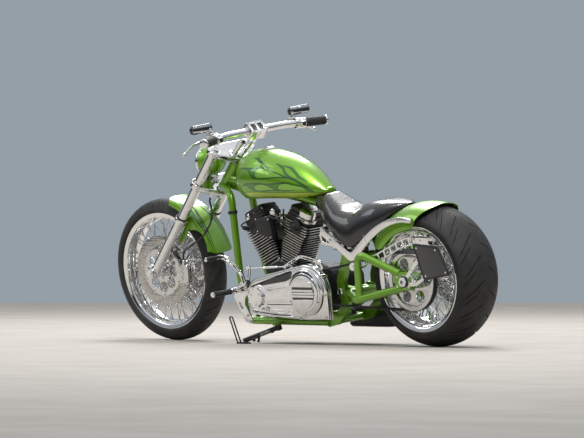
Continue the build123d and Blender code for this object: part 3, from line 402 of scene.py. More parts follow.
class Shape:
    """Gathers solids into one piece."""

    def __init__(self):
        self.points, self.faces, self.finishes = [], [], []

    def put(self, solid, finish=0, matrix=None):
        points, faces = solid
        start = len(self.points)
        self.points += [tuple(matrix @ Vector(p)) for p in points] if matrix else list(points)
        self.faces += [tuple(start + i for i in f) for f in faces]
        self.finishes += [finish] * len(faces)
        return self

    def both(self, solid, finish=0, matrix=None):
        """Puts the solid and its mirror image on the other side."""
        points, faces = solid
        placed = [matrix @ Vector(p) for p in points] if matrix else [Vector(p) for p in points]
        self.put(([tuple(p) for p in placed], faces), finish)
        self.put(([(p.x, -p.y, p.z) for p in placed], [f[::-1] for f in faces]), finish)
        return self

    def each(self, solid, finish, y, spots):
        """Puts the solid at each (x, z) spot."""
        for x, z in spots:
            self.put(solid, finish, at(x, y, z))

    def each_side(self, solid, finish, y, spots):
        """Puts the solid at each (x, z) spot on both sides."""
        for x, z in spots:
            self.both(solid, finish, at(x, y, z))

    def build(self, name, finishes, slot, replaces=(), place="chassis", sharp=30.0):
        mesh = bpy.data.meshes.new(name)
        mesh.from_pydata(self.points, [], self.faces)
        for finish in finishes:
            mesh.materials.append(M[finish])
        mesh.polygons.foreach_set("material_index", self.finishes)
        cleaner = bmesh.new()
        cleaner.from_mesh(mesh)
        bmesh.ops.remove_doubles(cleaner, verts=cleaner.verts, dist=WELD)
        bmesh.ops.recalc_face_normals(cleaner, faces=cleaner.faces)
        cleaner.to_mesh(mesh)
        cleaner.free()
        mesh.transform(PLACES[place])
        mesh.shade_smooth()
        mesh.set_sharp_from_angle(angle=radians(sharp))
        piece = bpy.data.objects.new(name, mesh)
        bpy.context.collection.objects.link(piece)
        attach(piece, BODY_OF.get(place, place))
        if replaces:
            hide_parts(*replaces)
        return piece


# Wheels, drawn about their own axle with Y along it
def about_axle(degrees):
    """Turn about the axle that takes X to an angle above it."""
    return Matrix.Rotation(-radians(degrees), 4, "Y")


# Rows over half the tread, and in millimetres the columns' largest pitch and a groove's sloping wall
TREAD_ROWS = 11
COLUMN_PITCH, GROOVE_WALL = 11, 1.3


def tyre(radius, crown, tread_half, sidewall, sectors, grooves, sweep, depth):
    """Tyre whose grooves are columns of a sheared grid; sidewall runs from the shoulder to the bead."""
    centre = radius - crown
    rows = []
    for k in range(-TREAD_ROWS, TREAD_ROWS + 1):
        t = k / TREAD_ROWS
        y = t * tread_half
        rows.append((centre + sqrt(crown * crown - y * y), y, t))
    rows = [(r, -y, -2.0) for r, y in reversed(sidewall)] + rows + [(r, y, 2.0) for r, y in sidewall]
    pitch = 2 * pi * radius / sectors
    columns = []
    for middle, side, t0, t1, width in grooves:
        half = width / 2 / pitch
        wall = GROOVE_WALL / pitch
        first, last = middle - half, middle + half
        columns += [
            (first, 0, 0, 0), (first + wall, side, t0, t1), (last - wall, side, t0, t1), (last, 0, 0, 0)
        ]
    edges = sorted(columns)
    fill = []
    for (a, *_), (b, *_) in zip(edges, edges[1:] + [(edges[0][0] + 1, 0, 0, 0)]):
        count = int((b - a) * pitch / COLUMN_PITCH) + 1
        fill += [(a + (b - a) * k / count, 0, 0, 0) for k in range(1, count)]
    columns = sorted(edges + fill)
    points = []
    for sector in range(sectors):
        for column, side, t0, t1 in columns:
            for r, y, t in rows:
                shear = sweep * min(abs(t), 1.0) ** 1.5
                a = 2 * pi * (sector + column + shear) / sectors
                if side and t0 < t * side < t1:
                    away = Vector((r - centre, y)).normalized() * depth
                    r, y = r - away.x, y - away.y
                points.append((r * cos(a), y, r * sin(a)))
    return points, quads(sectors * len(columns), len(rows), True, True)


def wheel_tyre(name, slot, size, sidewall, sectors, grooves, sweep, depth):
    body = name.replace("tyre", "wheel")
    Shape().put(tyre(*size, sidewall, sectors, grooves, sweep, depth)).build(
        name + "_tread", ["tyre"], slot, [name], place=body, sharp=35
    )


# A size is the radius, the crown's radius and the tread's half width
# A groove is its middle within a sector, its side, where it starts and ends across the tread, and its width
wheel_tyre(
    "front_tyre", "tyre_rubber", (344.4, 65, 59),
    [
        (300, 61.8), (297.5, 63.2), (296, 63), (290, 63.6), (287, 63.2), (284, 61), (282, 56), (279.5, 50),
        (278, 44),
    ],
    26,
    [
        (0.1, 1, 0.08, 0.82, 4.6), (0.38, 1, 0.5, 0.95, 4), (0.6, -1, 0.08, 0.82, 4.6),
        (0.88, -1, 0.5, 0.95, 4),
    ],
    0.8, 4.5,
)
wheel_tyre(
    "rear_tyre", "tyre_rubber", (329, 170, 118),
    [
        (276, 122), (271.5, 124.8), (269.5, 124.6), (262, 126.4), (255, 126.6), (251, 125), (248, 121),
        (245, 117), (242, 108),
    ],
    18,
    [(0.1, 1, 0.1, 0.86, 6.5), (0.4, 1, 0.46, 0.97, 5), (0.6, -1, 0.1, 0.86, 6.5), (0.9, -1, 0.46, 0.97, 5)],
    0.95, 6,
)


def rim(name, inner, outer):
    """Rim from its half section on the hub side and on the tyre side."""
    section = inner + [(r, -y) for r, y in reversed(inner)][1:]
    section += [(r, -y) for r, y in outer] + list(reversed(outer))
    body = name.replace("rim", "wheel")
    Shape().put(lathe(section, 120, True)).build(
        name + "_polished", ["chrome"], "chrome", [name], place=body, sharp=50
    )


rim("front_rim", [
    (283.5, 50.5), (283, 52.6), (280.5, 53.4), (276, 52.4), (270, 49.5), (264, 48.6), (260.5, 45.5),
    (259, 40), (258, 33), (252, 24.5), (248, 18.5), (246.5, 12), (246.5, 0),
], [(281, 48.6), (272, 45), (266, 38), (262, 31), (253, 20), (251, 0)])
rim("rear_rim", [
    (247, 118.6), (246.5, 120.8), (244, 121.6), (239, 120.4), (232, 116.5), (226, 114.8), (222.5, 110),
    (221, 100), (220, 84), (214, 68), (208, 57), (205, 48), (204.5, 36), (204.5, 0),
], [(244, 116.5), (234, 111), (227, 104), (225, 82), (213, 56), (209, 0)])

# Angles in degrees between spokes and from hub to rim, and the wire's radius
SPOKES_IN_ROW, SPOKE_PITCH, SPOKE_SWEEP, WIRE_RADIUS = 15, 12.0, 48.0, 2.6
NIPPLE = [(0, -1.5), (4.4, -1.5), (4.4, 4), (3.5, 5.5), (3.3, 17), (2.3, 18)]


def wheel_hub(name, flange_r, flange_y, well_r, rim_y, section):
    """Hub with sixty crossed spokes, their elbows at the flanges and nipples at the rim."""
    hub = Shape().put(lathe(section, 64, True))
    for side in (1, -1):
        for way in (1, -1):
            first = (0 if way > 0 else SPOKE_PITCH) + (0 if side > 0 else SPOKE_PITCH / 2)
            for i in range(SPOKES_IN_ROW):
                a = radians(first + 2 * SPOKE_PITCH * i)
                b = a + way * radians(SPOKE_SWEEP)
                elbow_y = side * (flange_y + way * 9.5)
                low = flange_r - 7
                near = flange_r + 5
                elbow = Vector((low * cos(a), elbow_y, low * sin(a)))
                turn = Vector(
                    (near * cos(a + way * 0.05), side * (flange_y + way * 7), near * sin(a + way * 0.05))
                )
                tip = Vector(((well_r - 1) * cos(b), side * (rim_y + way * 3.6), (well_r - 1) * sin(b)))
                run = rounded([elbow, turn, tip], 6, 2)
                hub.put(tube(run, [WIRE_RADIUS + 1] + [WIRE_RADIUS] * 4, 8), 1)
                hub.put(lathe(NIPPLE, 10), 1, turn_to(turn - tip, tip))
    hub.build(
        name + "_laced", ["chrome", "alloy"], "chrome", [name], place=name.split("_")[0] + "_wheel", sharp=50
    )


def hub_section(bore, left, right):
    """Closed hub section from rows of (radius, y) on each side."""
    return [(bore, left[0][1])] + left + right + [(bore, right[-1][1])]


FRONT_HUB = [
    (22, 84), (24, 82), (24, 59), (40, 59), (42, 57), (42, 46), (50, 45), (52, 43), (52, 33), (50, 31),
    (36, 30), (31, 22), (30, 0),
]
FRONT_HUB_RIGHT = [(r, -y) for r, y in FRONT_HUB[-2::-1]]
wheel_hub("front_hub_spokes", 52, 38, 248, 8, hub_section(12.3, FRONT_HUB, FRONT_HUB_RIGHT))
wheel_hub("rear_hub_spokes", 60, 62, 206, 24, hub_section(
    13,
    [
        (24, 176), (26, 174), (26, 137), (40, 136.5), (42, 134), (42, 72), (58, 70), (60, 68), (60, 56),
        (58, 54), (40, 53), (33, 40), (32, 0),
    ],
    [
        (33, -40), (40, -53), (58, -54), (60, -56), (60, -68), (58, -70), (42, -72), (42, -110), (26, -111),
        (26, -158), (24, -160),
    ],
))


def disc(piece, radius, inner, y, bore):
    """Drilled disc ring on a carrier with round windows, its inner face at y."""
    holes = []
    for i in range(60):
        ring = inner + 9 + (i % 5) * (radius - inner - 17) / 4
        a = radians(6 * i + 3 * (i % 2))
        holes.append(circle(ring * cos(a), ring * sin(a), 3.4, 10))
    piece.put(plate([circle(0, 0, radius, 96), circle(0, 0, inner, 96)] + holes, y + 0.4, y + 4.6, 0.6, 1))
    middle = (inner + bore) / 2 + 4
    windows = [circle(x, z, (inner - bore) * 0.29, 24) for x, z in circle(0, 0, middle, 8)]
    carrier = [circle(0, 0, inner + 3, 96), circle(0, 0, bore, 48)]
    piece.put(plate(carrier + windows, y + 0.2, y + 6.4, 1.2, 2), 1)
    for i in range(10):
        a = 2 * pi * (i + 0.5) / 10
        piece.put(bolt(6.5, 3), 1, at(inner * cos(a), y + 5.6, inner * sin(a)))
        if i % 2:
            piece.put(bolt(5, 5), 1, at((bore + 9) * cos(a), y + 5.6, (bore + 9) * sin(a)))


front_disc = Shape()
disc(front_disc, 172, 118, 60, 25)
both_discs = Shape()
for finish in (0, 1):
    faces = [f for f, index in zip(front_disc.faces, front_disc.finishes) if index == finish]
    both_discs.both((front_disc.points, faces), finish)
both_discs.build(
    "front_discs_drilled", ["steel", "alloy"], "disc_steel", ["front_discs"], place="front_wheel", sharp=35
)
rear_disc = Shape()
disc(rear_disc, 146, 92, 112, 27)
rear_disc.points = [(x, -y, z) for x, y, z in rear_disc.points]
rear_disc.build(
    "rear_disc_drilled", ["steel", "alloy"], "disc_steel", ["rear_disc"], place="rear_wheel", sharp=35
)

# Rear pulley: toothed rim, flanges and round windows
pulley = Shape()
teeth = []
for i in range(70):
    a = 2 * pi * i / 70
    for da, r in ((-0.022, 134.5), (-0.014, 138), (0.014, 138), (0.022, 134.5)):
        teeth.append((r * cos(a + da), r * sin(a + da)))
pulley.put(plate([teeth, circle(0, 0, 122, 64)], 139, 166, 0.3, 1))
windows = [circle(x, z, 27, 28) for x, z in circle(0, 0, 86, 6)]
pulley.put(plate([circle(0, 0, 124, 64), circle(0, 0, 26.4, 40)] + windows, 147, 158, 1.5, 2))
for y in (137, 164.6):
    pulley.put(plate([circle(0, 0, 142, 96), circle(0, 0, 121, 64)], y, y + 2, 0.5, 1))
for i in range(6):
    a = 2 * pi * (i + 0.5) / 6
    pulley.put(bolt(7, 7, 6), 1, at(46 * cos(a), 158, 46 * sin(a)))
pulley.put(lathe([(27, 158), (36, 158), (38, 160), (36, 164), (27, 166)], 40, True), 1)
pulley.build(
    "rear_pulley_toothed", ["alloy", "chrome"], "chrome", ["rear_pulley"], place="rear_wheel", sharp=35
)


# Calipers astride the discs
def caliper(radius, inner_y, outer_y, disc_y, half):
    """Two halves, bridges over the disc edge, piston caps and bolts, with the disc centre at 0."""
    made = []
    face = soften([
        (radius - 54, -half), (radius + 14, -half), (radius + 20, -half + 20), (radius + 20, half - 20),
        (radius + 14, half), (radius - 54, half), (radius - 60, half - 18), (radius - 60, -half + 18),
    ], 10)
    for y0, y1 in ((inner_y, disc_y - 2.5), (disc_y + 7.5, outer_y)):
        made.append((plate([face], y0, y1, 3, 3), 0))
    for z in (-half + 9, 0, half - 9):
        made.append((block(radius + 4, radius + 19, inner_y + 3, outer_y - 3, z - 8, z + 8, 3), 0))
    for z in (-half * 0.55, 0, half * 0.55):
        cap = [(0, 0), (13, 0), (13, 2), (11.5, 3.5), (6, 3.5), (5, 2.2), (0, 2.2)]
        made.append((lathe(cap, 24), 0, (radius - 24, outer_y, z)))
    for z in (-half + 8, half - 8):
        made.append((bolt(5, 5, 6), 1, (radius + 10, outer_y, z)))
        made.append((bolt(4, 6, 8), 1, (radius - 46, outer_y, z)))
    return made


def put_caliper(shape, parts, matrix, flip):
    for solid, finish, *spot in parts:
        points, faces = solid
        if spot:
            points = [tuple(Vector(p) + Vector(spot[0])) for p in points]
        placed = [matrix @ Vector(p) for p in points]
        if flip:
            placed = [Vector((p.x, -p.y, p.z)) for p in placed]
        shape.put(([tuple(p) for p in placed], faces), finish)


front_at = at(WHEELBASE, 0, FRONT_Z)
front_pads = Shape()
bracket = soften([(-150, 24), (-128, 62), (-72, 112), (-46, 86), (-96, 36), (-112, -2)], 12)
lug = plate([bracket, circle(-104, 44, 9), circle(-78, 78, 7)], 74, 85.6, 2)
for flip in (False, True):
    put_caliper(front_pads, caliper(172, 42, 84, 60, 46), front_at @ about_axle(184), flip)
    parts = [(lug, 0), (bolt(8, 6), 1, (-62, 85, 92)), (bolt(8, 6), 1, (-134, 85, 30))]
    put_caliper(front_pads, parts, front_at, flip)
front_pads.build(
    "front_calipers_polished", ["alloy", "chrome"], "polished_alloy", ["front_calipers"], place="steering",
    sharp=35,
)
rear_pads = Shape()
rear_at = at(0, 0, REAR_Z)
put_caliper(rear_pads, caliper(146, 96, 140, 112, 46), rear_at @ about_axle(48), True)
stay = soften([(40, 30), (92, 40), (120, 66), (96, 100), (60, 96)], 12)
put_caliper(rear_pads, [(plate([stay, circle(84, 66, 9)], 126, 173.6, 2), 0)], rear_at, True)
rear_pads.build("rear_caliper_polished", ["alloy", "chrome"], "polished_alloy", ["rear_caliper"], sharp=35)


# Curves, decals and shells
def smooth(points, steps=6):
    """Even curve through points of any number of values."""
    made = []
    for i in range(len(points) - 1):
        p = [points[max(i - 1, 0)], points[i], points[i + 1], points[min(i + 2, len(points) - 1)]]
        for k in range(steps):
            t = k / steps
            weights = (
                -t * (1 - t) ** 2 / 2, (2 - 5 * t * t + 3 * t**3) / 2, (t + 4 * t * t - 3 * t**3) / 2,
                t * t * (t - 1) / 2,
            )
            made.append(tuple(sum(w * q[n] for w, q in zip(weights, p)) for n in range(len(p[0]))))
    return made + [tuple(points[-1])]


def between(rows, place):
    """Value at a place in a table of (place, value) rows."""
    for (a, low), (b, high) in zip(rows, rows[1:]):
        if place <= b:
            t = max(0.0, (place - a) / (b - a))
            return low + (high - low) * t
    return rows[-1][1]


def grid(rows, loop=False):
    """Faces over rows of points, each row as long as the next."""
    return [tuple(p) for row in rows for p in row], quads(len(rows), len(rows[0]), False, loop)


def half_width(run, i, width):
    """Step of half a width to the left of a run of points, at its point i."""
    a, b = run[max(i - 1, 0)], run[min(i + 1, len(run) - 1)]
    along = Vector((b[0] - a[0], b[1] - a[1])).normalized()
    return Vector((-along.y, along.x)) * width / 2


def decal_line(points, surface_at, steps=8):
    """Painted line of (u, v, width) points laid on a surface."""
    run = smooth(points, steps)
    rows = []
    for i, (u, v, width) in enumerate(run):
        side = half_width(run, i, width)
        rows.append([surface_at(u + side.x * k, v + side.y * k, 0.55) for k in (-1, 0, 1)])
    return grid(rows)


def decal_band(first, second, surface_at, across=6, steps=8):
    """Painted area between two curves of (u, v) points laid on a surface."""
    rows = []
    for a, b in zip(smooth(first, steps), smooth(second, steps)):
        rows.append(
            [surface_at(*(p + (q - p) * k / across for p, q in zip(a, b)), 0.3) for k in range(across + 1)]
        )
    return grid(rows)


def fender_half(crown_r, edge_r, shoulder_y, side_r, half, low_r):
    """Half section of (radius, y) from the crown down the side to a radius."""
    run = [(crown_r - (crown_r - edge_r) * (k / 12) ** 2, shoulder_y * k / 12) for k in range(13)]
    for k in range(1, 11):
        a = pi / 2 * k / 10
        run.append((side_r + (edge_r - side_r) * cos(a), shoulder_y + (half - shoulder_y) * sin(a)))
    run.append((low_r, half))
    return run


def cut_run(run, low_r, count):
    """The run down to a radius, shared out in even steps."""
    kept = [run[0]]
    for a, b in zip(run, run[1:]):
        if b[0] < low_r:
            t = (a[0] - low_r) / max(a[0] - b[0], 1e-6)
            kept.append((low_r, a[1] + (b[1] - a[1]) * t))
            break
        kept.append(b)
    lengths = [0.0]
    for a, b in zip(kept, kept[1:]):
        lengths.append(lengths[-1] + math.dist(a, b))
    table = [(s, p[0]) for s, p in zip(lengths, kept)], [(s, p[1]) for s, p in zip(lengths, kept)]
    return [tuple(between(rows, lengths[-1] * k / count) for rows in table) for k in range(count + 1)]


# Largest angle in degrees between a fender's rows
FENDER_STEP = 1.4


def fender(section, skirt, start, end, round_off, wall, flick=0.0):
    """Shell of a half section round its axle; skirt is a table of (angle, radius)."""
    solid = []
    steps = int((end - start) / FENDER_STEP)
    half = max(y for _, y in section)
    for i in range(steps + 1):
        t = i / steps
        row = []
        for r, y in cut_run(section, between(skirt, start + (end - start) * t), 26):
            first, last = (pull * (y / half) ** 4 for pull in round_off)
            a = radians(start + first + (end - start - first - last) * t)
            row.append((r + flick * max(0.0, (t - 0.85) / 0.15) ** 2, y, a))
        row = [(r, -y, a) for r, y, a in reversed(row)][:-1] + row
        outer = [(r * cos(a), y, r * sin(a)) for r, y, a in row]
        inner = [((r - wall) * cos(a), y * (1 - wall / half), (r - wall) * sin(a)) for r, y, a in row]
        solid.append(outer + inner[::-1])
    points, faces = grid(solid, True)
    n = len(solid[0])
    for base in (0, (len(solid) - 1) * n):
        for k in range(n // 2 - 1):
            faces.append((base + k, base + k + 1, base + n - 2 - k, base + n - 1 - k))
    return points, faces


UP = Matrix.Rotation(pi / 2, 4, "X")
AHEAD = Matrix.Rotation(-pi / 2, 4, "Z")


# Fork legs, yokes and stem in the leg line's own frame, as rows of radius and distance up the leg
LEG = [
    (0, -24), (15, -24), (20, -21), (24, -15), (26, -6), (26, 300), (26.4, 303), (26.4, 316), (28, 322),
    (31, 326), (31, 343), (29.5, 345.5), (26, 346), (25.4, 349), (24.4, 350), (24, 352), (24, 537.4),
    (21, 537.4), (21, 565.6), (24, 565.6), (24, 744.4), (21, 744.4), (21, 773), (20, 776), (17, 778),
    (15, 781), (10, 781), (9, 778), (0, 778),
]
LUG = [(13, 84.6), (21, 84.6), (23.6, 87), (23.6, 135), (21.5, 138), (13, 138)]
LEG_Y = 112
legs = Shape()
for side in (1, -1):
    legs.put(lathe(LEG, 48), 0, at(0, side * LEG_Y, 0) @ UP)
    legs.put(lathe(
        [(26.6, 346), (28.6, 346.4), (28.6, 351), (24.6, 353)], 40, True
    ), 1, at(0, side * LEG_Y, 0) @ UP)
    for s in (306, 312):
        legs.put(lathe(
            [(26.2, s), (26.9, s + 0.8), (26.9, s + 2), (26.2, s + 2.8)], 40, True
        ), 0, at(0, side * LEG_Y, 0) @ UP)
legs.both(lathe(LUG, 40, True))
for s in (-13, 13):
    legs.both(bolt(4.5, 5, 6), 0, turn_to((1, 0, 0), (24, 104, s * 0.6)))
legs.both(block(-11, 11, 79, 88, 315, 341, 2))
legs.build("fork_legs_polished", ["chrome", "rubber"], "chrome", ["fork_legs"], place="fork", sharp=40)

HEX = [
    (0, 0), (18.5, 0), (20.5, 1.5), (20.5, 9), (18.5, 10.5), (15, 11), (14.5, 14), (12, 17), (6, 18), (0, 18)
]
nuts = Shape()
nuts.both(lathe(HEX, 6), 0, at(0, 138.4, 0))
nuts.both(lathe([(12, 84.4), (12, 139)], 24))
nuts.both(lathe([(0, 0), (15, 0), (15, 5), (11, 10), (0, 11)], 30), 0, at(0, 149, 0))
nuts.build("front_axle_nuts", ["chrome"], "chrome", place="fork")


def yoke(low, thick):
    outline = hull(circle(0, LEG_Y, 36, 48) + circle(0, -LEG_Y, 36, 48) + circle(-FORK_OFFSET, 0, 34, 48))
    return plate([outline, circle(0, LEG_Y, 21.3), circle(0, -LEG_Y, 21.3)], low, low + thick, 4, 3)


yokes = Shape()
yokes.put(yoke(538, 27), 0, UP).put(lathe([(12.5, 560), (12.5, 740)], 32), 0, at(-FORK_OFFSET, 0, 0) @ UP)
for side in (1, -1):
    for s in (546, 557):
        yokes.put(bolt(4.5, 5, 6), 1, turn_to((0, side, 0), (-20, side * 138, s)))
yokes.put(lathe([(0, 0), (26, 0), (28, 2), (28, 7), (25, 9), (13, 9)], 40), 0, at(-FORK_OFFSET, 0, 565) @ UP)
yokes.build("lower_yoke_polished", ["chrome", "alloy"], "chrome", ["lower_yoke"], place="fork", sharp=35)

# Risers lean back from the upper yoke to a clamp with two windows, drawn in the upright frame
top = Shape()
top.put(yoke(745, 27), 0, fork_frame @ UP)
stem_nut = lathe([(0, 0), (20, 0), (22, 1.5), (22, 9), (20, 11), (14, 12), (12, 15), (0, 16)], 6)
top.put(stem_nut, 0, fork_frame @ at(-FORK_OFFSET, 0, 771) @ UP)
for side in (1, -1):
    top.put(bolt(5, 5, 6), 1, fork_frame @ turn_to((0, side, 0), (-20, side * 138, 758)))
clamp_at = at(1107, 0, 1012) @ Matrix.Rotation(-radians(47), 4, "Y")
for side in (1, -1):
    foot = fork_point(-51, side * 36, 772)
    neck = fork_point(-51, side * 36, 790)
    riser = [
        (0, 0), (19, 0), (20, 2), (20, 8), (16, 12), (14.5, 18), (14, 60), (14, 84), (16, 90), (17, 96),
        (0, 96),
    ]
    top.put(lathe(riser, 32), 0, turn_to(Vector((1120, side * 36, 1000)) - foot, foot))
    top.put(
        lathe([(0, -2), (21, -2), (22, 0), (22, 8), (17, 11), (0, 11)], 32), 0, turn_to(neck - foot, foot)
    )
frame_outline = soften(oblong(-33, 33, -28, 28), 9)
for y0, y1 in ((-52, -36), (-8, 8), (36, 52)):
    top.put(plate([frame_outline], y0, y1, 2.5, 3), 0, clamp_at)
top.put(pad(oblong(-30, 30, -26, 10), 7, -50, 50, 2, 3), 0, clamp_at)
for x in (-26, 26):
    top.put(block(x - 7, x + 7, -51, 51, -27, 27, 2.5), 0, clamp_at)
top.put(block(-19, 19, -38, 38, 2, 20, 2), 2, clamp_at)
for x in (-26, 26):
    for y in (-44, 0, 44):
        top.put(bolt(4.6, 5), 1, clamp_at @ at(x, y, 27.5) @ UP)
top.build(
    "upper_yoke_and_risers", ["chrome", "alloy", "gloss"], "chrome", ["upper_yoke"], place="steering",
    sharp=35,
)

# Handlebar, grips with ribs and chrome ends
BAR_END, BAR_BEND = Vector((1040, 408, 1004)), Vector((1120, 200, 1010))
bar_way = (BAR_END - BAR_BEND).normalized()
bar_run = rounded([(1107, 70, 1012), BAR_BEND, BAR_END], 110, 12)
bar_run = [Vector((p.x, -p.y, p.z)) for p in reversed(bar_run)] + list(bar_run)
bar = Shape().put(tube(bar_run, 17, 24))
end_cap = lathe([(17, -2), (22, -1), (23, 1), (23, 7), (20, 10), (10, 11.5), (0, 12)], 32)
bar.both(end_cap, 0, turn_to(bar_way, BAR_END))
for y in (54, 60):
    bar.both(lathe([(17, y), (19.5, y + 0.5), (19.5, y + 4), (17, y + 4.5)], 32, True), 0, at(1107, 0, 1012))
bar.build("handlebar_polished", ["chrome"], "chrome", ["handlebar"], place="steering", sharp=50)
ribs = [(17.3, 0.4), (20.4, 0.8)]
for i in range(12):
    ribs += [(20.4, 6 + i * 8), (21.6, 7 + i * 8), (21.6, 12 + i * 8), (20.4, 13 + i * 8)]
ribs += [(20.4, 106), (17.3, 106)]
grips = Shape().both(lathe(ribs, 40, True), 0, turn_to(-bar_way, BAR_END))
ring = [(17.3, 106), (22.5, 106), (23.5, 107), (23.5, 110.5), (22, 111.8), (17.3, 111.8)]
grips.both(lathe(ring, 40, True), 1, turn_to(-bar_way, BAR_END))
grips.build("grips_ribbed", ["rubber", "chrome"], "grip_rubber", ["grips"], place="steering", sharp=35)


def on_bar(distance):
    return BAR_END - bar_way * distance


# Hand controls: housings, master cylinders and blade levers
controls = Shape()
housing = [
    (17.3, 0), (24, 0), (26, 2), (26, 18), (24, 20), (24, 24), (26, 26), (26, 43), (24, 45.4), (17.3, 45.4)
]
controls.both(lathe(housing, 40, True), 0, turn_to(-bar_way, on_bar(112.6)))
root = on_bar(142) + Vector((34, 0, -4))
controls.both(tube([on_bar(142) + Vector((18, 0, 0)), root], [15, 12], 20))
controls.both(lathe([(0, -13), (9, -13), (11, -11), (11, 9), (9, 11), (0, 11)], 24), 0, at(*root) @ UP)
tip = Vector((1149, 440, 958))
blade = smooth(
    [tuple(root), tuple(root + Vector((24, 34, -6))), tuple(root + Vector((34, 90, -12))), tuple(tip)], 8
)
controls.both(tube(blade, [8.5 - 3.2 * i / (len(blade) - 1) for i in range(len(blade))], 14))
controls.both(lathe([(0, -9), (5, -8), (8.5, -4), (9.2, 0), (8.5, 4), (5, 8), (0, 9)], 20), 0, at(*tip))
tank_at = on_bar(136) + Vector((30, -4, 20))
box = soften(oblong(-19, 19, -23, 23), 7)
controls.both(plate([box], -10, 5, 2.5, 3), 0, at(*tank_at) @ UP)
lid = soften(oblong(-20.5, 20.5, -24.5, 24.5), 8)
controls.both(plate([lid], 5.4, 9.6, 1.4, 2), 0, at(*tank_at) @ UP)
for x in (-14, 14):
    for y in (-18, 18):
        controls.both(bolt(2.6, 1.6, 8), 1, at(*tank_at) @ at(x, y, 9.4) @ UP)
switch = on_bar(136) + Vector((-24, 0, -4))
controls.both(pad(oblong(-11, 8, -14, 14), 5, -14, 14, 3, 2), 0, at(*switch))
for z in (-7, 6):
    controls.both(
        lathe([(0, 0), (4.5, 0), (4.5, 3), (3.5, 4), (0, 4)], 16), 2,
        turn_to((-1, 0, 0), switch + Vector((-10, 0, z))),
    )
controls.build(
    "hand_controls_detailed", ["chrome", "alloy", "rubber"], "chrome", ["hand_controls"], place="steering",
    sharp=45,
)

# Mirrors: rounded cases with glass and ball-jointed stems
mirrors = Shape()
mirror_at = Vector((1132, 330, 1064))
case = soften(oblong(-70, 70, -21, 21), 20, 8)
glass = soften(oblong(-65, 65, -16.5, 16.5), 16, 8)
mirrors.both(plate([case], -9, 9, 6, 4), 0, at(*mirror_at) @ AHEAD)
mirrors.both(plate([glass], -10, -8.4, 0.5, 1), 1, at(*mirror_at) @ AHEAD)
foot = on_bar(136) + Vector((38, -4, 30))
mirrors.both(tube([foot, foot + Vector((0, 0, 9)), foot + Vector((-3, 0, 17))], [5.6, 4.5, 4.5], 16), 2)
mirrors.both(
    lathe([(0, -7), (5, -6), (7.5, -2), (7.5, 2), (5, 6), (0, 7)], 20), 2,
    at(*(foot + Vector((-3, 0, 18)))) @ UP,
)
mirrors.build(
    "mirrors_glazed", ["gloss", "mirror", "chrome"], "mirror_case", ["mirrors"], place="steering", sharp=35
)

# Headlamp: painted bucket, chrome ring, reflector, bulb and lens
lamp_at = at(1417, 0, 868) @ AHEAD
bucket = [
    (0, -66), (12, -65.4), (28, -60), (45, -48), (58, -32), (67, -12), (71, 10), (71.5, 30), (68, 31),
    (66, 12), (56, -20), (30, -44), (0, -50),
]
lamp = Shape().put(lathe(bucket, 56), 0, lamp_at)
lamp.put(lathe(
    [(66, 29), (71, 28), (74, 31), (75, 36), (73, 41), (68, 44), (66.5, 42), (68, 36)], 56, True
), 1, lamp_at)
lamp.put(lathe([(67, 36), (58, 18), (42, 2), (24, -8), (10, -12), (0, -12.5)], 48), 2, lamp_at)
lamp.put(lathe([(0, -12), (7, -12), (8, 6), (6, 16), (0, 19)], 20), 3, lamp_at)
lamp.put(lathe([(0, 22), (11, 21), (13, 24), (13, 30), (0, 31)], 24), 1, lamp_at)
stem_foot, stem_head = fork_point(0, 0, 565.5), Vector((1417, 0, 803))
lamp.put(tube(
    rounded([stem_foot, fork_point(0, 0, 580), stem_head - Vector((0, 0, 12)), stem_head], 14, 5), 10, 20
), 1)
lamp.put(
    lathe([(0, 0), (17, 0), (19, 2), (19, 9), (14, 13), (0, 13)], 28), 1,
    turn_to(fork_point(0, 0, 600) - stem_foot, stem_foot),
)
lamp.put(pad([(-24, -8), (24, -8), (18, 6), (-18, 6)], 5, -14, 14, 2, 2), 1, at(1417, 0, 800))
lamp.build(
    "headlamp_bucket", ["paint", "chrome", "mirror", "lens"], "green_paint", ["headlamp"], place="steering",
    sharp=35,
)
glass = [
    (67.5, 39), (66, 43), (60, 47), (48, 51), (30, 54.5), (12, 56), (0, 56), (0, 53.4), (12, 53.2),
    (30, 51.6), (48, 48), (60, 44), (65, 40),
]
Shape().put(lathe(glass, 64), 0, lamp_at).build(
    "headlamp_glass", ["lens"], "lamp_glass", ["headlamp_lens"], place="steering", sharp=35
)

# Front fender: a shell whose side edge arches up behind the fork leg, with its stays and flames
FRONT_SIZE = (372, 366.4, 65, 351.7, 78)
FRONT_SKIRT = [
    (99, 336), (106, 338), (120, 338), (130, 330), (136, 312), (139, 306), (141, 318), (143.5, 336),
    (147, 350), (151, 357), (158, 358), (163, 354), (167, 350),
]
front_half = fender_half(*FRONT_SIZE, 300)
front_fender = Shape().put(fender(front_half, FRONT_SKIRT, 105, 167, (3, 3), 3.5), 0, front_at)
for s in (321, 335):
    front_fender.both(bolt(5, 4, 6), 1, fork_frame @ turn_to((0, 1, 0), (0, 84, s)))
front_fender.both(block(-11, 11, 77, 85.4, 314, 342, 2), 0, fork_frame)
stay = soften([(1526, 590), (1556, 588), (1578, 548), (1622, 492), (1612, 480), (1572, 508), (1538, 560)], 8)
front_fender.both(plate([stay], 75, 81, 1.2, 2))


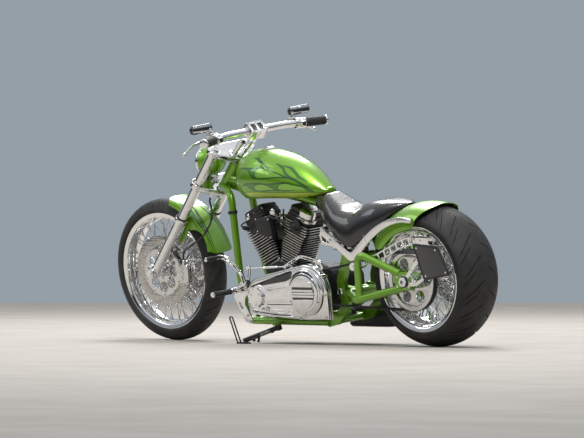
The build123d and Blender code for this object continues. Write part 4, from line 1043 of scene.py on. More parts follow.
def on_front_fender(angle, across, lift):
    """Point on the fender at an angle about the axle and a distance across from the crown."""
    left = abs(across)
    for (r0, y0), (r1, y1) in zip(front_half, front_half[1:]):
        step = math.dist((r0, y0), (r1, y1))
        if left <= step or (r1, y1) == front_half[-1]:
            t = left / step
            r, y = r0 + (r1 - r0) * t, y0 + (y1 - y0) * t
            normal = Vector((y1 - y0, r0 - r1)).normalized()
            break
        left -= step
    r, y = r + normal.x * lift, y + normal.y * lift
    a = radians(angle)
    return (WHEELBASE + r * cos(a), y if across >= 0 else -y, FRONT_Z + r * sin(a))


def front_decal(u, v, lift):
    """Fender surface with u in millimetres along the crown from the front edge."""
    return on_front_fender(104 + math.degrees(u / 400), v, lift)


for side in (1, -1):
    flames = [
        [(24, 20, 5), (90, 34, 8), (170, 50, 9), (260, 64, 5), (330, 66, 2)],
        [(24, 52, 5), (100, 64, 8), (180, 76, 6), (236, 80, 2)],
        [(24, 6, 4), (110, 14, 7), (220, 34, 9), (330, 44, 6), (410, 46, 2)],
        [(150, 26, 2), (230, 46, 6), (300, 56, 7), (380, 58, 3), (420, 56, 1.5)],
    ]
    for points in flames:
        front_fender.put(decal_line([(u, side * v, w) for u, v, w in points], front_decal), 2)
    first = [(24, side * 22), (120, side * 40), (240, side * 62), (330, side * 66)]
    second = [(24, side * 50), (110, side * 64), (200, side * 74), (330, side * 68)]
    front_fender.put(decal_band(first, second, front_decal), 3)
front_fender.build(
    "front_fender_flamed", ["paint", "chrome", "flame_line", "flame"], "green_paint", ["front_fender"],
    place="steering", sharp=35,
)


def arc_through(a, b, c, steps):
    """Points of the circle from a through b to c."""
    d = 2 * (a[0] * (b[1] - c[1]) + b[0] * (c[1] - a[1]) + c[0] * (a[1] - b[1]))
    squares = [p[0] ** 2 + p[1] ** 2 for p in (a, b, c)]
    x = (squares[0] * (b[1] - c[1]) + squares[1] * (c[1] - a[1]) + squares[2] * (a[1] - b[1])) / d
    y = (squares[0] * (c[0] - b[0]) + squares[1] * (a[0] - c[0]) + squares[2] * (b[0] - a[0])) / d
    radius = math.dist((x, y), a)
    start, end = (math.atan2(p[1] - y, p[0] - x) for p in (a, c))
    turn = (end - start + pi) % (2 * pi) - pi
    return [(
        x + radius * cos(start + turn * k / steps), y + radius * sin(start + turn * k / steps)
    ) for k in range(steps + 1)]


def band(points, steps=6):
    """Outline with round ends along (x, z, width) points."""
    run = smooth(points, steps)
    left, right = [], []
    for i, (x, z, width) in enumerate(run):
        side = half_width(run, i, width)
        left.append((x + side.x, z + side.y))
        right.append((x - side.x, z - side.y))
    outline = list(left)
    for end, other, middle in ((left[-1], right[-1], run[-1]), (right[0], left[0], run[0])):
        start = math.atan2(end[1] - middle[1], end[0] - middle[0])
        reach = math.dist(end, other) / 2
        arc = [start - pi * k / 8 for k in range(1, 8)]
        outline += [(middle[0] + reach * cos(a), middle[1] + reach * sin(a)) for a in arc]
        if middle is run[-1]:
            outline += right[::-1]
    return outline


def ribbon(points, steps, y0, y1, edge=1.0, rounds=2):
    """Plate of one band."""
    return plate([band(points, steps)], y0, y1, edge, rounds)


# Rear fender: a rounded shell close to the tyre, with a dark lining and strut lugs
REAR_SECTION = arc_through((347, 0), (342, 48), (318.4, 112), 14) + arc_through(
    (318.4, 112), (289, 141), (241, 155), 12
)[1:]
REAR_SECTION.append((226, 155))
REAR_SKIRT = [
    (33, 262), (36, 240), (40, 232), (48, 229), (84, 229), (93, 231), (99, 233), (102, 238), (105.5, 246)
]
rear_fender = Shape().put(fender(REAR_SECTION, REAR_SKIRT, 33, 105.5, (0, 9), 3.5, 2.5), 0, rear_at)
lining = [(r - 4.2, y * (1 - 4.2 / 155)) for r, y in REAR_SECTION]
rear_fender.put(
    fender(lining, [(a, r + 3) for a, r in REAR_SKIRT], 33.5, 105.2, (0, 9), 0.8, 2.5), 1, rear_at
)
for x, z, low in ((-17, 609, 138), (65, 612, 118)):
    rear_fender.both(pin(9, low, 155), 0, at(x, 0, z))
rear_fender.build("rear_fender_shell", ["paint", "cast"], "green_paint", ["rear_fender"], sharp=40)

# Struts: tapered bands along the fender, as rows of x, z and width, with a raised divider, hole and bolts
STRUT = [
    (-20, 603, 20), (30, 609, 23), (82, 604, 27), (145, 587, 31), (210, 556, 35), (270, 516, 38),
    (326, 470, 40), (352, 448, 42), (378, 437, 42), (402, 446, 36), (440, 472, 31), (500, 511, 29),
    (556, 549, 27),
]
struts = Shape()
struts.both(plate([band(STRUT), circle(505, 515, 5, 16)], 155.3, 163.3, 2.2, 3))
struts.both(ribbon([(262, 496, 2.6), (286, 536, 2.6)], 1, 162, 164.4, 0.8, 1))
struts.both(ribbon(
    [(290, 514, 3), (350, 462, 4), (376, 452, 4), (398, 462, 3), (470, 508, 2)], 8, 162.6, 163.9, 0.5, 1
))
struts.each_side(bolt(7, 4.5, 16), 0, 163, ((-18, 603), (66, 605)))
struts.both(pin(12, 133.3, 156, 24), 0, at(548, 0, 546))
struts.build("fender_struts_smooth", ["chrome"], "chrome", ["fender_struts"], sharp=40)

# Side covers with a frame and slats over a dark recess
covers = Shape()
cover_outline = soften([(436, 494), (460, 470), (592, 490), (604, 530), (592, 572), (552, 546)], 8)
window = soften([(462, 495), (474, 484), (582, 501), (590, 530), (580, 552), (552, 534)], 5)
covers.both(plate([cover_outline, window], 128, 134.5, 1.6, 3))
covers.both(
    pad([(440, 493), (461, 474), (590, 492), (600, 530), (588, 566), (552, 541)], 6, 127, 129.4, 0.6, 1), 1
)
for x, low, high in ((500, 488, 512), (530, 492, 526), (560, 497, 540)):
    covers.both(block(x - 2.5, x + 2.5, 129, 133, low, high, 0.8))
covers.both(pin(9, 112.5, 128), 0, at(520, 0, 522))
covers.each_side(bolt(4, 3, 6), 0, 134.3, ((452, 489), (590, 555)))
covers.build("side_covers_slatted", ["chrome", "cast"], "chrome", ["side_covers"], sharp=40)

# Tank paint: flames, stripe and seam laid on the CAD tank
tank_node = frame["nodes"]["fuel_tank"]
to_upright = upright.inverted() @ tank_node.matrix_world
tank_tree = BVHTree.FromPolygons(
    [to_upright @ v.co for v in tank_node.data.vertices], [tuple(p.vertices) for p in tank_node.data.polygons]
)


def on_tank(x, z, lift):
    """Point on the tank's left side seen along Y, a little proud of it."""
    spot, normal, _, _ = tank_tree.ray_cast(Vector((x, 300, z)), Vector((0, -1, 0)))
    if spot is None:
        spot, normal, _, _ = tank_tree.find_nearest(Vector((x, 90, z)))
    return tuple(spot + normal * lift)


FLAME_LINES = [
    [
        (1125, 843), (1090, 845), (1042, 843), (982, 848), (944, 843), (883, 826), (828, 807), (772, 788),
        (728, 761), (684, 729),
    ],
    [
        (940, 844), (979, 846), (997, 836), (1002, 820), (994, 805), (965, 799), (921, 801), (853, 804),
        (800, 796),
    ],
    [(1062, 842), (1037, 823), (1011, 803), (990, 797)],
    [(1107, 762), (1077, 770), (1047, 773), (978, 775), (940, 771), (907, 760), (876, 745), (842, 740)],
    [(950, 772), (993, 771), (1008, 762), (1010, 752), (1000, 742), (968, 740), (910, 743), (860, 742)],
    [(1079, 770), (1051, 758), (1024, 745), (1002, 741)],
    [(942, 771), (888, 773), (820, 776), (778, 766), (736, 754), (710, 736), (682, 726)],
    [(799, 774), (838, 772), (856, 762), (859, 752), (849, 743), (813, 740), (765, 742)],
    [(1042, 891), (1013, 887), (995, 877), (957, 867), (940, 853), (899, 831)],
    [(888, 865), (861, 853), (843, 843), (830, 828), (800, 804), (759, 787)],
    [(852, 854), (810, 842), (779, 820), (754, 798), (713, 776)],
]
FLAME_FILLS = [
    (
        [(1002, 820), (994, 838), (975, 846), (944, 843), (912, 836), (883, 826), (853, 814), (828, 807)],
        [(1002, 820), (996, 806), (975, 800), (950, 799), (921, 801), (890, 803), (865, 805), (828, 806)],
    ),
    (
        [(1010, 752), (1004, 766), (985, 773), (950, 772), (930, 768), (907, 760), (890, 751), (876, 745)],
        [(1010, 752), (1004, 744), (990, 740), (968, 740), (945, 741), (925, 742), (900, 743), (876, 744)],
    ),
    (
        [(859, 752), (854, 765), (838, 773), (799, 774), (778, 766), (755, 760), (736, 754), (715, 740)],
        [(859, 752), (853, 744), (835, 741), (813, 740), (790, 741), (765, 742), (740, 740), (715, 738)],
    ),
]
FLAME_DARKS = [
    (
        [(1062, 843), (1030, 844), (1000, 847), (979, 846)],
        [(1062, 842), (1037, 823), (1011, 803), (990, 798)],
    ),
    ([(979, 846), (992, 840), (1000, 828), (1002, 820)], [(990, 798), (992, 801), (998, 808), (1002, 818)]),
    (
        [(1079, 770), (1050, 773), (1015, 774), (993, 773)],
        [(1079, 770), (1051, 758), (1024, 745), (1002, 741)],
    ),
    (
        [(993, 773), (1003, 767), (1009, 758), (1010, 752)],
        [(1002, 741), (1005, 744), (1008, 748), (1010, 751)],
    ),
    ([(940, 772), (900, 773), (865, 775), (838, 774)], [(940, 771), (907, 760), (876, 745), (852, 742)]),
    ([(838, 774), (850, 768), (858, 758), (859, 752)], [(852, 742), (855, 745), (858, 748), (859, 751)]),
]
tank_paint = Shape()
for points in FLAME_LINES:
    last = len(points) - 1
    for extra, wide, finish in ((0.0, 11, 1), (0.35, 3.6, 0)):
        run = [(
            x, z, wide * (0.35 + 0.65 * min(1, i * 1.2, (last - i) * 0.9))
        ) for i, (x, z) in enumerate(points)]
        tank_paint.both(decal_line(run, lambda u, v, lift: on_tank(u, v, lift + extra)), finish)
for first, second in FLAME_FILLS:
    tank_paint.both(decal_band(first, second, lambda u, v, lift: on_tank(u, v, lift + 0.4)), 2)
for first, second in FLAME_DARKS:
    tank_paint.both(decal_band(first, second, lambda u, v, lift: on_tank(u, v, lift + 0.35), 5, 5), 1)
stripe_top = [(1096, 727), (1060, 731), (1000, 732), (877, 729), (733, 725), (640, 717)]
stripe_low = [(1096, 717), (1060, 712), (1000, 709), (877, 706), (733, 704), (654, 707)]
tank_paint.both(decal_band(stripe_top, stripe_low, on_tank, 4, 10), 3)
tank_paint.both(decal_line([
    (1098, 729, 2), (1060, 733, 2.5), (1000, 734, 2.5), (877, 731, 2.5), (733, 727, 2.5), (640, 719, 1.5)
], on_tank), 1)
tank_paint.build("tank_flames", ["flame_line", "flame", "flame_light", "stripe"], "green_paint", sharp=35)

# Seam round the tank's front face, and the filler cap
seam = []
TANK_FRONT_X, TANK_MIDDLE_Z = 1166, 806
SEAM_STEPS = 48
for k in range(SEAM_STEPS + 1):
    a = 2 * pi * k / SEAM_STEPS
    reach = Vector((0, cos(a), sin(a)))
    start = Vector((TANK_FRONT_X, 0, TANK_MIDDLE_Z)) + reach * 260
    spot, normal, _, _ = tank_tree.ray_cast(start, -reach)
    if spot is None or abs(a - 1.5 * pi) < 0.7:
        continue
    seam.append(spot + normal * 0.4)
order = sorted(seam, key=lambda p: math.atan2(p.y, TANK_MIDDLE_Z - p.z) % (2 * pi))
Shape().put(tube(order, 1.8, 8)).build("tank_seam", ["paint"], "green_paint", sharp=80)
cap = Shape()
cap.put(lathe(
    [(0, 0), (29, 0), (30, 1), (30, 5), (27, 7.5), (26, 11), (22, 13.4), (8, 14.4), (0, 14.5)], 48
), 0, at(1023, 0, 921.6) @ UP)
for k in range(24):
    knurl = Matrix.Rotation(2 * pi * k / 24, 4, "Z")
    cap.put(block(28.6, 31, -1.6, 1.6, 1.2, 5.2, 0.5), 0, at(1023, 0, 921.6) @ knurl)
cap.build("fuel_cap_turned", ["chrome"], "chrome", ["fuel_cap"])

# Saddle: a padded shell with piping along its lower edge
# Each row gives x, the half width, the height of the edge and the height of the crest
SEAT = [
    (709, 14, 694, 704), (704, 36, 682, 716), (688, 52, 666, 721), (660, 68, 640, 714), (640, 78, 624, 713),
    (622, 86, 610, 720), (590, 106, 592, 704), (540, 128, 562, 676), (500, 139, 534, 656),
    (460, 147, 506, 648), (424, 150, 487, 645), (394, 152, 480, 652), (358, 152, 492, 670),
    (320, 152, 512, 682), (280, 150, 536, 687), (240, 143, 563, 688), (208, 127, 588, 685),
    (180, 102, 614, 681), (156, 74, 636, 677), (136, 46, 652, 673), (122, 20, 662, 669),
]
rows, inner, piping = [], [], []
for x, half, edge, crest in smooth(SEAT, 5):
    tall = crest - edge
    row, under = [], []
    for k in range(33):
        a = pi * k / 32
        y = -half * (1 if cos(a) > 0 else -1) * abs(cos(a)) ** 0.62
        z = edge + tall * sin(a) ** 0.72
        row.append((x, y, z))
        depth = min(24, 0.5 * tall)
        under.append((x, y * (1 - 11 / half), edge + 1 + (tall - depth) * sin(a) ** 0.72))
    rows.append(row)
    inner.append(under)
    piping.append((x, half - 1.5, edge + 1))
solid = [row + under[::-1] for row, under in zip(rows, inner)]
points, faces = grid(solid, True)
n = len(solid[0])
for start in (0, (len(solid) - 1) * n):
    for k in range(32):
        faces.append((start + k, start + k + 1, start + n - 2 - k, start + n - 1 - k))
saddle = Shape().put((points, faces))
saddle.both(tube(piping, 3, 8), 1)
saddle_piece = saddle.build("saddle", ["leather", "gloss_trim"], "black_leather", ["seat"], sharp=60)


def slab(outline, low, high, edge=0.8):
    """Flat slab with bevelled rims between two heights: points, faces of the rim, and the two caps."""
    middle = Vector((sum(p[0] for p in outline), sum(p[1] for p in outline))) / len(outline)
    inset = []
    for p in outline:
        pull = (middle - Vector(p)).normalized() * edge
        inset.append((p[0] + pull.x, p[1] + pull.y))
    rings = [(inset, low), (outline, low + edge * 0.6), (outline, high - edge * 0.6), (inset, high)]
    points, faces = grid([[(x, y, z) for x, y in ring] for ring, z in rings], True)
    n = len(outline)
    caps = [tuple(reversed(range(n))), tuple(range(3 * n, 4 * n))]
    return points, faces, caps


def put_slab(shape, outline, low, high, rim, face, matrix, edge=0.8):
    points, faces, caps = slab(outline, low, high, edge)
    shape.put((points, faces), rim, matrix)
    shape.put((points, caps), face, matrix)


def cut_corners(half_x, half_y, cut):
    """Rectangle whose corners are rounded off by a cut."""
    corners = [(half_x, -half_y), (half_x, half_y), (-half_x, half_y), (-half_x, -half_y)]
    return soften(corners, cut * 1.25, 4)


# Engine: two banks of machined fins, heads and rocker boxes
CRANK = Vector((961, 0, 250))
BANK_ANGLE = 22.5


def bank(way):
    return Matrix.Translation(CRANK) @ Matrix.Rotation(radians(BANK_ANGLE) * way, 4, "Y")


FIN_COUNT, FIN_FROM, HEAD_AT, ROCKER_AT = 12, 160, 314, 368
barrels, heads, rockers = Shape(), Shape(), Shape()
for way in (1, -1):
    m = bank(way)
    put_slab(barrels, cut_corners(50, 50, 18), 148, 313.6, 1, 1, m)
    for i in range(FIN_COUNT):
        d = FIN_FROM + i * (HEAD_AT - FIN_FROM) / FIN_COUNT
        grow = 0.11 * (d - FIN_FROM)
        put_slab(barrels, cut_corners(62 + grow, 66 + grow / 2, 20), d, d + 4.2, 0, 1, m, 1.1)
    for x in (-44, 44):
        for y in (-44, 44):
            barrels.put(pin(6.5, 150, 313, 12), 1, m @ at(x, y, 0) @ UP)
    put_slab(heads, cut_corners(72, 60, 20), HEAD_AT, 367.4, 1, 1, m)
    for i in range(4):
        d = HEAD_AT + i * (ROCKER_AT - HEAD_AT) / 4
        put_slab(heads, cut_corners(84, 70, 20), d, d + 4.2, 0, 1, m, 1.1)
    heads.put(block(-34, 28, -102, -60, 353.6, 367.4, 3), 1, m)
    heads.put(
        lathe([(0, 0), (34, 0), (36, 3), (36, 12), (30, 15), (0, 15)], 28), 1, m @ at(way * 10, 60, 340)
    )
    plug = m @ turn_to((0.1 * way, 0.93, 0.35), (way * 34, 62, 336))
    heads.put(lathe([(0, 0), (9, 0), (9, 8), (7, 9), (7, 20), (5, 21), (5, 30), (0, 31)], 14), 2, plug)
    heads.put(lathe([(0, 24), (9, 24), (10.5, 28), (10.5, 48), (8, 54), (0, 54)], 16), 3, plug)
    put_slab(rockers, cut_corners(74, 60, 16), 368, 384, 1, 1, m, 2.5)
    put_slab(rockers, cut_corners(71, 57, 16), 384.5, 402, 0, 0, m, 3)
    put_slab(rockers, cut_corners(67, 53, 14), 402, 426, 0, 0, m, 7)
    put_slab(rockers, cut_corners(52, 40, 16), 426, 430, 0, 0, m, 3)
    for x in (-62, 0, 62):
        for y in (-49, 49):
            rockers.put(bolt(4.5, 6, 12), 2, m @ at(x, y, 401) @ UP)
# Chrome end cover with three slots on the rear rocker box, and two fittings on the front one
end_cover = bank(-1) @ at(-40, 44, 0)
put_slab(rockers, soften(
    [(-44, -34), (44, -34), (54, 2), (34, 32), (-34, 32), (-54, 2)], 12
), 382, 396, 2, 2, end_cover, 3)
put_slab(rockers, soften(
    [(-38, -27), (38, -27), (46, 2), (28, 26), (-28, 26), (-46, 2)], 11
), 396, 432, 2, 2, end_cover, 10)
for x in (-16, 0, 16):
    rockers.put(block(x - 3.5, x + 3.5, 8, 22.5, 404, 428, 1), 1, end_cover)
front_knob = bank(1) @ turn_to((0.2, 1, 0.1), (34, 52, 396))
rockers.put(lathe([(0, 0), (15, 0), (17, 3), (17, 12), (14, 17), (7, 19), (0, 19.5)], 28), 2, front_knob)
rockers.put(plate(
    [soften([(-20, -13), (22, -13), (18, 12), (-14, 14)], 6), circle(4, 0, 5, 14)], 58, 66, 2, 2
), 2, bank(1) @ at(8, 0, 352))
barrels.build("cylinder_fins", ["fin_edge", "cast"], "black_enamel", ["cylinders"])
heads.build("head_fins", ["fin_edge", "cast", "steel", "rubber"], "black_enamel", ["cylinder_heads"])
rockers.build("rocker_covers", ["black", "cast", "chrome"], "black_enamel", ["rocker_boxes"])

# Crankcase with ribs and studs, gearbox with its covers
case = Shape()
case_outline = soften(
    [(812, 168), (860, 142), (1040, 142), (1084, 190), (1084, 300), (1030, 330), (892, 330), (812, 300)], 16
)
case.put(plate([case_outline], -96, 96, 5, 3))
case.put(
    plate([case_outline], -3, 3, 1, 1), 0,
    Matrix.Translation(CRANK) @ Matrix.Scale(1.012, 4) @ Matrix.Translation(-CRANK),
)
for way in (1, -1):
    put_slab(case, cut_corners(61, 62, 16), 60, 147.6, 0, 0, bank(way), 2)
    put_slab(case, cut_corners(60, 62, 14), 140, 147.6, 1, 0, bank(way), 1)
    for x in (-48, 48):
        for y in (-50, 50):
            case.put(bolt(7, 9, 6), 1, bank(way) @ at(x, y, 147) @ UP)
for x in range(840, 1070, 26):
    case.both(block(x - 3, x + 3, 95, 101, 160, 316, 1.5))
case.put(pin(70, 90, 171.6, 40), 0, at(*CRANK))
for k in range(8):
    a = 2 * pi * k / 8 + 0.2
    case.both(bolt(5, 6, 12), 1, at(950 + 118 * cos(a), 95, 238 + 78 * sin(a)))
case.build("crankcase_ribbed", ["cast", "steel"], "black_enamel", ["crankcase"])

box = Shape()
PULLEY_X, PULLEY_Z = 637, 285
box_outline = soften(
    [(560, 190), (600, 168), (800, 168), (811.7, 190), (811.7, 330), (780, 372), (600, 372), (560, 330)], 18
)
box.put(plate([box_outline], -94, 94, 5, 3))
box.put(
    pad([(600, 200), (780, 200), (790, 320), (770, 350), (620, 350), (590, 310)], 18, -100, -92, 2.5, 3), 1
)
for x, z in ((608, 212), (772, 212), (778, 318), (758, 340), (630, 340), (602, 304)):
    box.put(bolt(4.5, 5, 12), 2, turn_to((0, -1, 0), (x, -99.6, z)))
box.put(pad([(620, 355), (770, 355), (760, 376), (640, 376)], 8, -60, 60, 2, 2), 1)
box.put(pin(22, 90, 137, 32), 0, at(PULLEY_X, 0, PULLEY_Z))
teeth = [(70.6 + (1.8 if k % 2 else 0), 2 * pi * k / 64) for k in range(64)]
box.put(plate([[(PULLEY_X + r * cos(a), PULLEY_Z + r * sin(a)) for r, a in teeth]], 138, 166, 0.4, 1), 2)
box.each(bolt(5, 5, 12), 3, 165.8, circle(PULLEY_X, PULLEY_Z, 40, 5))
box.build("gearbox_cast", ["cast", "black", "steel", "chrome"], "black_enamel", ["gearbox"])


def segment(radius, low, high, x, z, n=14):
    """Outline of the part of a disc between two heights."""
    a0, a1 = math.asin(max(-1, low / radius)), math.asin(min(1, high / radius))
    right = [(
        x + radius * cos(a0 + (a1 - a0) * k / n), z + radius * sin(a0 + (a1 - a0) * k / n)
    ) for k in range(n + 1)]
    return right + [(2 * x - p[0], p[1]) for p in reversed(right)]


def primary_outline(shrink):
    ends = circle(955, 250, 96 - shrink, 64) + circle(CLUTCH_X, CLUTCH_Z, 132 - shrink, 72)
    return hull(ends + [
        (519 + shrink, 144 + shrink), (653, 144 + shrink), (653, 268 - shrink), (519 + shrink, 268 - shrink)
    ])


# Primary cover: rounded body, dark inlay, panel, crank boss and derby cover, about the clutch's centre
CLUTCH_X, CLUTCH_Z = 650, 272
primary = Shape()
primary.put(plate([primary_outline(0)], 172, 180, 2, 2))
primary.put(plate([primary_outline(3)], 179.6, 181.4, 0.4, 1), 1)
primary.put(plate([primary_outline(1)], 181, 207, 10, 5))
primary.put(plate([soften(primary_outline(14)[::3], 8, 2)], 200, 215.5, 7, 5))
inlay = soften([(1018, 293), (1000, 304), (742, 374), (722, 372), (738, 338), (772, 325), (960, 300)], 8)
primary.put(plate([inlay], 213.6, 216.6, 0.8, 1), 1)
primary.put(pad([(905, 294), (742, 312), (752, 226), (930, 226)], 12, 213, 219, 2.5, 3))
primary.put(pad([(900, 285), (760, 300), (766, 236), (918, 236)], 8, 217, 220, 1.5, 2))
primary.put(ribbon([(744, 216, 4), (850, 215, 4.4), (952, 214, 4)], 3, 214.6, 216, 0.3, 1), 1)
for low in (162, 176, 190):
    run = [(1034 - 0.12 * low, low + 14, 5), (900, low + 2, 8), (770, low - 4, 8), (742, low - 4, 5)]
    primary.put(ribbon(run, 5, 206, 218, 2, 2))
primary.put(ribbon([(1012, 184, 4), (900, 171, 5), (760, 165, 4)], 5, 214.4, 216.2, 0.3, 1), 1)
primary.put(lathe([(0, 212), (60, 212), (60, 217), (57, 219.5), (44, 220)], 48), 0, at(956, 0, 247))
primary.put(lathe([(0, 212), (42, 212), (42, 225), (39, 228), (20, 229), (0, 229)], 48), 0, at(972, 0, 247))
primary.each(bolt(3.4, 2.4, 12), 2, 228, circle(972, 247, 30, 3, 0.5))
derby = [
    (0, 212), (110, 212), (110, 216), (107, 219), (104, 220), (103, 223), (94, 224.5), (93, 229), (90, 230.5),
    (79, 231), (77, 231), (0, 231),
]
primary.put(lathe(derby, 80), 0, at(CLUTCH_X, 0, CLUTCH_Z))
primary.put(pin(74, 231.2, 231.8, 64), 1, at(CLUTCH_X, 0, CLUTCH_Z))
for low, high in ((29, 76), (-76, -29)):
    primary.put(plate([soften(segment(76, low, high, CLUTCH_X, CLUTCH_Z), 3, 2)], 231, 238, 2.2, 3))
for low, high in ((-19, -8), (-5.5, 5.5), (8, 19)):
    primary.put(plate([segment(74, low, high, CLUTCH_X, CLUTCH_Z, 3)], 231, 237.4, 1.6, 2))
for angle in (25, 90, 155, 205, 270, 335):
    a = radians(angle)
    primary.put(bolt(4, 3, 12), 2, at(CLUTCH_X + 98.5 * cos(a), 223, CLUTCH_Z + 98.5 * sin(a)))
for x, z in (
    (1036, 282), (1038, 216), (880, 333), (760, 366), (880, 160), (700, 152), (532, 158), (530, 262),
    (540, 350),
):
    primary.put(lathe([(0, 176), (9, 176), (9, 209), (7, 211), (0, 211)], 20), 0, at(x, 0, z))
    primary.put(bolt(4.2, 4, 12), 2, at(x, 210.6, z))
primary.build("primary_polished", ["chrome", "gloss", "steel"], "chrome", ["primary_cover"])

# Cam cover with ribs, pushrod tubes with their sleeves and seals
cams = Shape()
cam_outline = soften(
    [(850, 190), (880, 158), (1040, 158), (1066, 190), (1066, 280), (1010, 318), (910, 318), (850, 280)], 20
)
cams.put(plate([cam_outline], -126, -96.4, 5, 4))
for k in range(7):
    z = 186 + k * 18
    cams.put(block(866, 1050, -128.4, -124, z - 2.2, z + 2.2, 1), 2)
cams.put(lathe(
    [(0, 0), (46, 0), (46, 6), (42, 9), (26, 9.5), (24, 7.5), (0, 7.5)], 44
), 2, turn_to((0, -1, 0), (971, -124.5, 230)))
for k in range(5):
    a = 2 * pi * k / 5
    cams.put(bolt(3.4, 2.4, 12), 2, turn_to((0, -1, 0), (971 + 34 * cos(a), -133.6, 230 + 34 * sin(a))))
for way in (1, -1):
    for x in (-20, 14):
        low, high = bank(way) @ Vector((x * 0.5, -109, 50)), bank(way) @ Vector((x, -90, 352.5))
        cams.put(tube([low, high], 7, 20), 2)
        for t, r in ((0.14, 12), (0.2, 10), (0.56, 10.5), (0.62, 9), (0.93, 11), (0.985, 12.5)):
            cams.put(
                lathe([(6, -5), (r, -4.2), (r, 4.2), (6, 5)], 20, True), 1 if r > 11.5 else 2,
                turn_to(high - low, low.lerp(high, t))
            )
    cams.put(pad([(-34, 92), (26, 92), (24, 112), (-30, 112)], 6, -122, -98, 3, 2), 0, bank(way))
cams.build("cam_cover_ribbed", ["black", "rubber", "chrome"], "black_enamel", ["cam_cover"])

# Air cleaner with ribs, its intake and runners
CLEANER_AT = at(961, 0, 533)
cleaner = Shape()
shell = [
    (0, -112), (80, -112), (86, -118), (86, -156), (82, -164), (74, -168), (30, -169), (28, -166), (0, -166)
]
cleaner.put(lathe(shell, 64), 0, CLEANER_AT)
for k in range(18):
    spin = Matrix.Rotation(2 * pi * k / 18, 4, "Y")
    cleaner.put(block(34, 72, -170.4, -166, -1.6, 1.6, 0.8), 0, CLEANER_AT @ spin)
cleaner.put(
    lathe([(0, 0), (22, 0), (22, 5), (18, 8), (0, 8.5)], 32), 2, turn_to((0, -1, 0), (961, -166, 533))
)
cleaner.put(pad([(940, 500), (982, 500), (994, 582), (928, 582)], 8, -60, 40, 4, 3), 1)
cleaner.put(lathe([(26, -113), (26, -58)], 32), 1, CLEANER_AT)
runner_ends = [bank(way) @ Vector((-way * 94, 0, 335)) for way in (1, -1)]
cleaner.put(tube(runner_ends, 20, 28), 2)
for way in (1, -1):
    cleaner.put(pad(
        oblong(-5, 5, -21, 21), 2, -28, 28, 1.5, 2
    ), 1, bank(way) @ at(-way * 89.3, 0, 335))
    for y in (-20, 20):
        cleaner.put(bolt(4, 4, 12), 2, bank(way) @ turn_to((-way, 0, 0), (-way * 94, y, 335 + 12)))
for x, y, z, r in ((950, 30, 590, 10), (972, 38, 604, 7), (940, 44, 570, 8)):
    cleaner.put(lathe([(0, 0), (r, 0), (r, 6), (r * 0.7, 8), (0, 8.5)], 20), 2, at(x, y, z))
for x in (944, 978):
    cleaner.put(tube(rounded([(x, 20, 580), (x, 26, 612), (x - 12, 30, 640)], 14, 4), 4, 10), 1)
cleaner.build("air_cleaner_ribbed", ["chrome", "black", "steel"], "chrome", ["air_cleaner"])

coil = Shape()
coil.put(pad([(936, 506), (1040, 536), (1046, 612), (950, 612)], 10, 88, 116, 5, 4))
coil.put(pad([(950, 522), (1028, 545), (1034, 600), (960, 600)], 8, 114, 117.6, 1.4, 2))
coil.put(block(1024, 1046, 70.4, 92, 556, 584, 2))
coil.each(bolt(4, 3, 12), 1, 115.4, ((948, 518), (1032, 546), (1038, 604), (956, 604)))
coil.put(lathe([(0, 0), (15, 0), (17, 2), (17, 7), (12, 11), (0, 12.5)], 30), 1, at(944, 88, 634))
coil.put(tube([(944, 92, 634), (960, 96, 610)], 6, 12))
for way in (1, -1):
    end = bank(way) @ Vector((way * 34 + 4 * way, 106, 352))
    start = Vector((990 + 30 * way, 104, 600))
    lead = smooth([
        tuple(start), tuple(start + Vector((way * 10, 10, 16))), tuple(end + Vector((0, 14, 18))), tuple(end)
    ], 7)
    coil.put(tube(lead, 3.6, 10), 2)
coil.build("coil_cover_rounded", ["black", "chrome", "rubber"], "black_enamel", ["coil_cover"])

# Foot controls: pierced levers, ribbed rubber pegs with chrome ends
CONTROL_PLATE = [
    (1082, 304), (1150, 312), (1196, 262), (1206, 236), (1140, 118), (1098, 108), (1090, 128), (1136, 200),
    (1128, 240), (1082, 262),
]
feet = Shape()
feet.both(plate([
    soften(CONTROL_PLATE, 8), soften([(1158, 178), (1176, 208), (1166, 214), (1148, 184)], 4)
], 137.3, 145.3, 1.8, 3))
feet.both(pad([(1084, 264), (1084, 300), (1112, 306), (1184, 286), (1184, 256)], 8, 145.3, 163.3, 3, 3))
lever = band([
    (1096, 290, 24), (1106, 322, 20), (1122, 354, 20), (1168, 394, 20), (1218, 424, 20), (1256, 431, 19),
    (1276, 425, 18),
], 6)
holes = [
    band([(1101, 308, 9), (1110, 338, 9)], 1), band([(1124, 360, 9), (1160, 390, 9)], 1),
    band([(1178, 403, 9), (1212, 421, 9)], 1),
]
feet.both(plate([lever] + holes, 162.3, 172.3, 1.8, 3))
feet.both(lathe([(0, 160), (16, 160), (16, 174), (13, 177), (6, 177.5), (0, 177.5)], 28), 0, at(1097, 0, 290))
peg_way = Vector((22, 146, -3)).normalized()
peg = [(0, 0), (15, 0), (15, 18), (10.5, 20), (10.5, 34)]
for k in range(7):
    peg += [(13.6, 36 + k * 14), (13.6, 44 + k * 14), (11.8, 45.5 + k * 14), (11.8, 48 + k * 14)]
peg += [(13.4, 136), (13.4, 142), (11, 145.5), (0, 146)]
feet.both(lathe([p for p in peg if p[1] <= 34], 28), 0, turn_to(peg_way, (1166, 159, 271)))
feet.both(lathe([p for p in peg if 34 <= p[1] < 136], 28), 1, turn_to(peg_way, (1166, 159, 271)))
feet.both(lathe([p for p in peg if p[1] >= 136], 28), 0, turn_to(peg_way, (1166, 159, 271)))
toe = [(0, 165), (9, 165), (9, 176), (11.6, 178), (11.6, 184), (10, 185.5)]
for k in range(4):
    toe += [(10, 187 + k * 12), (11.6, 188.5 + k * 12), (11.6, 195 + k * 12), (10, 196.5 + k * 12)]
toe += [(11, 236), (9, 239.6), (0, 240)]
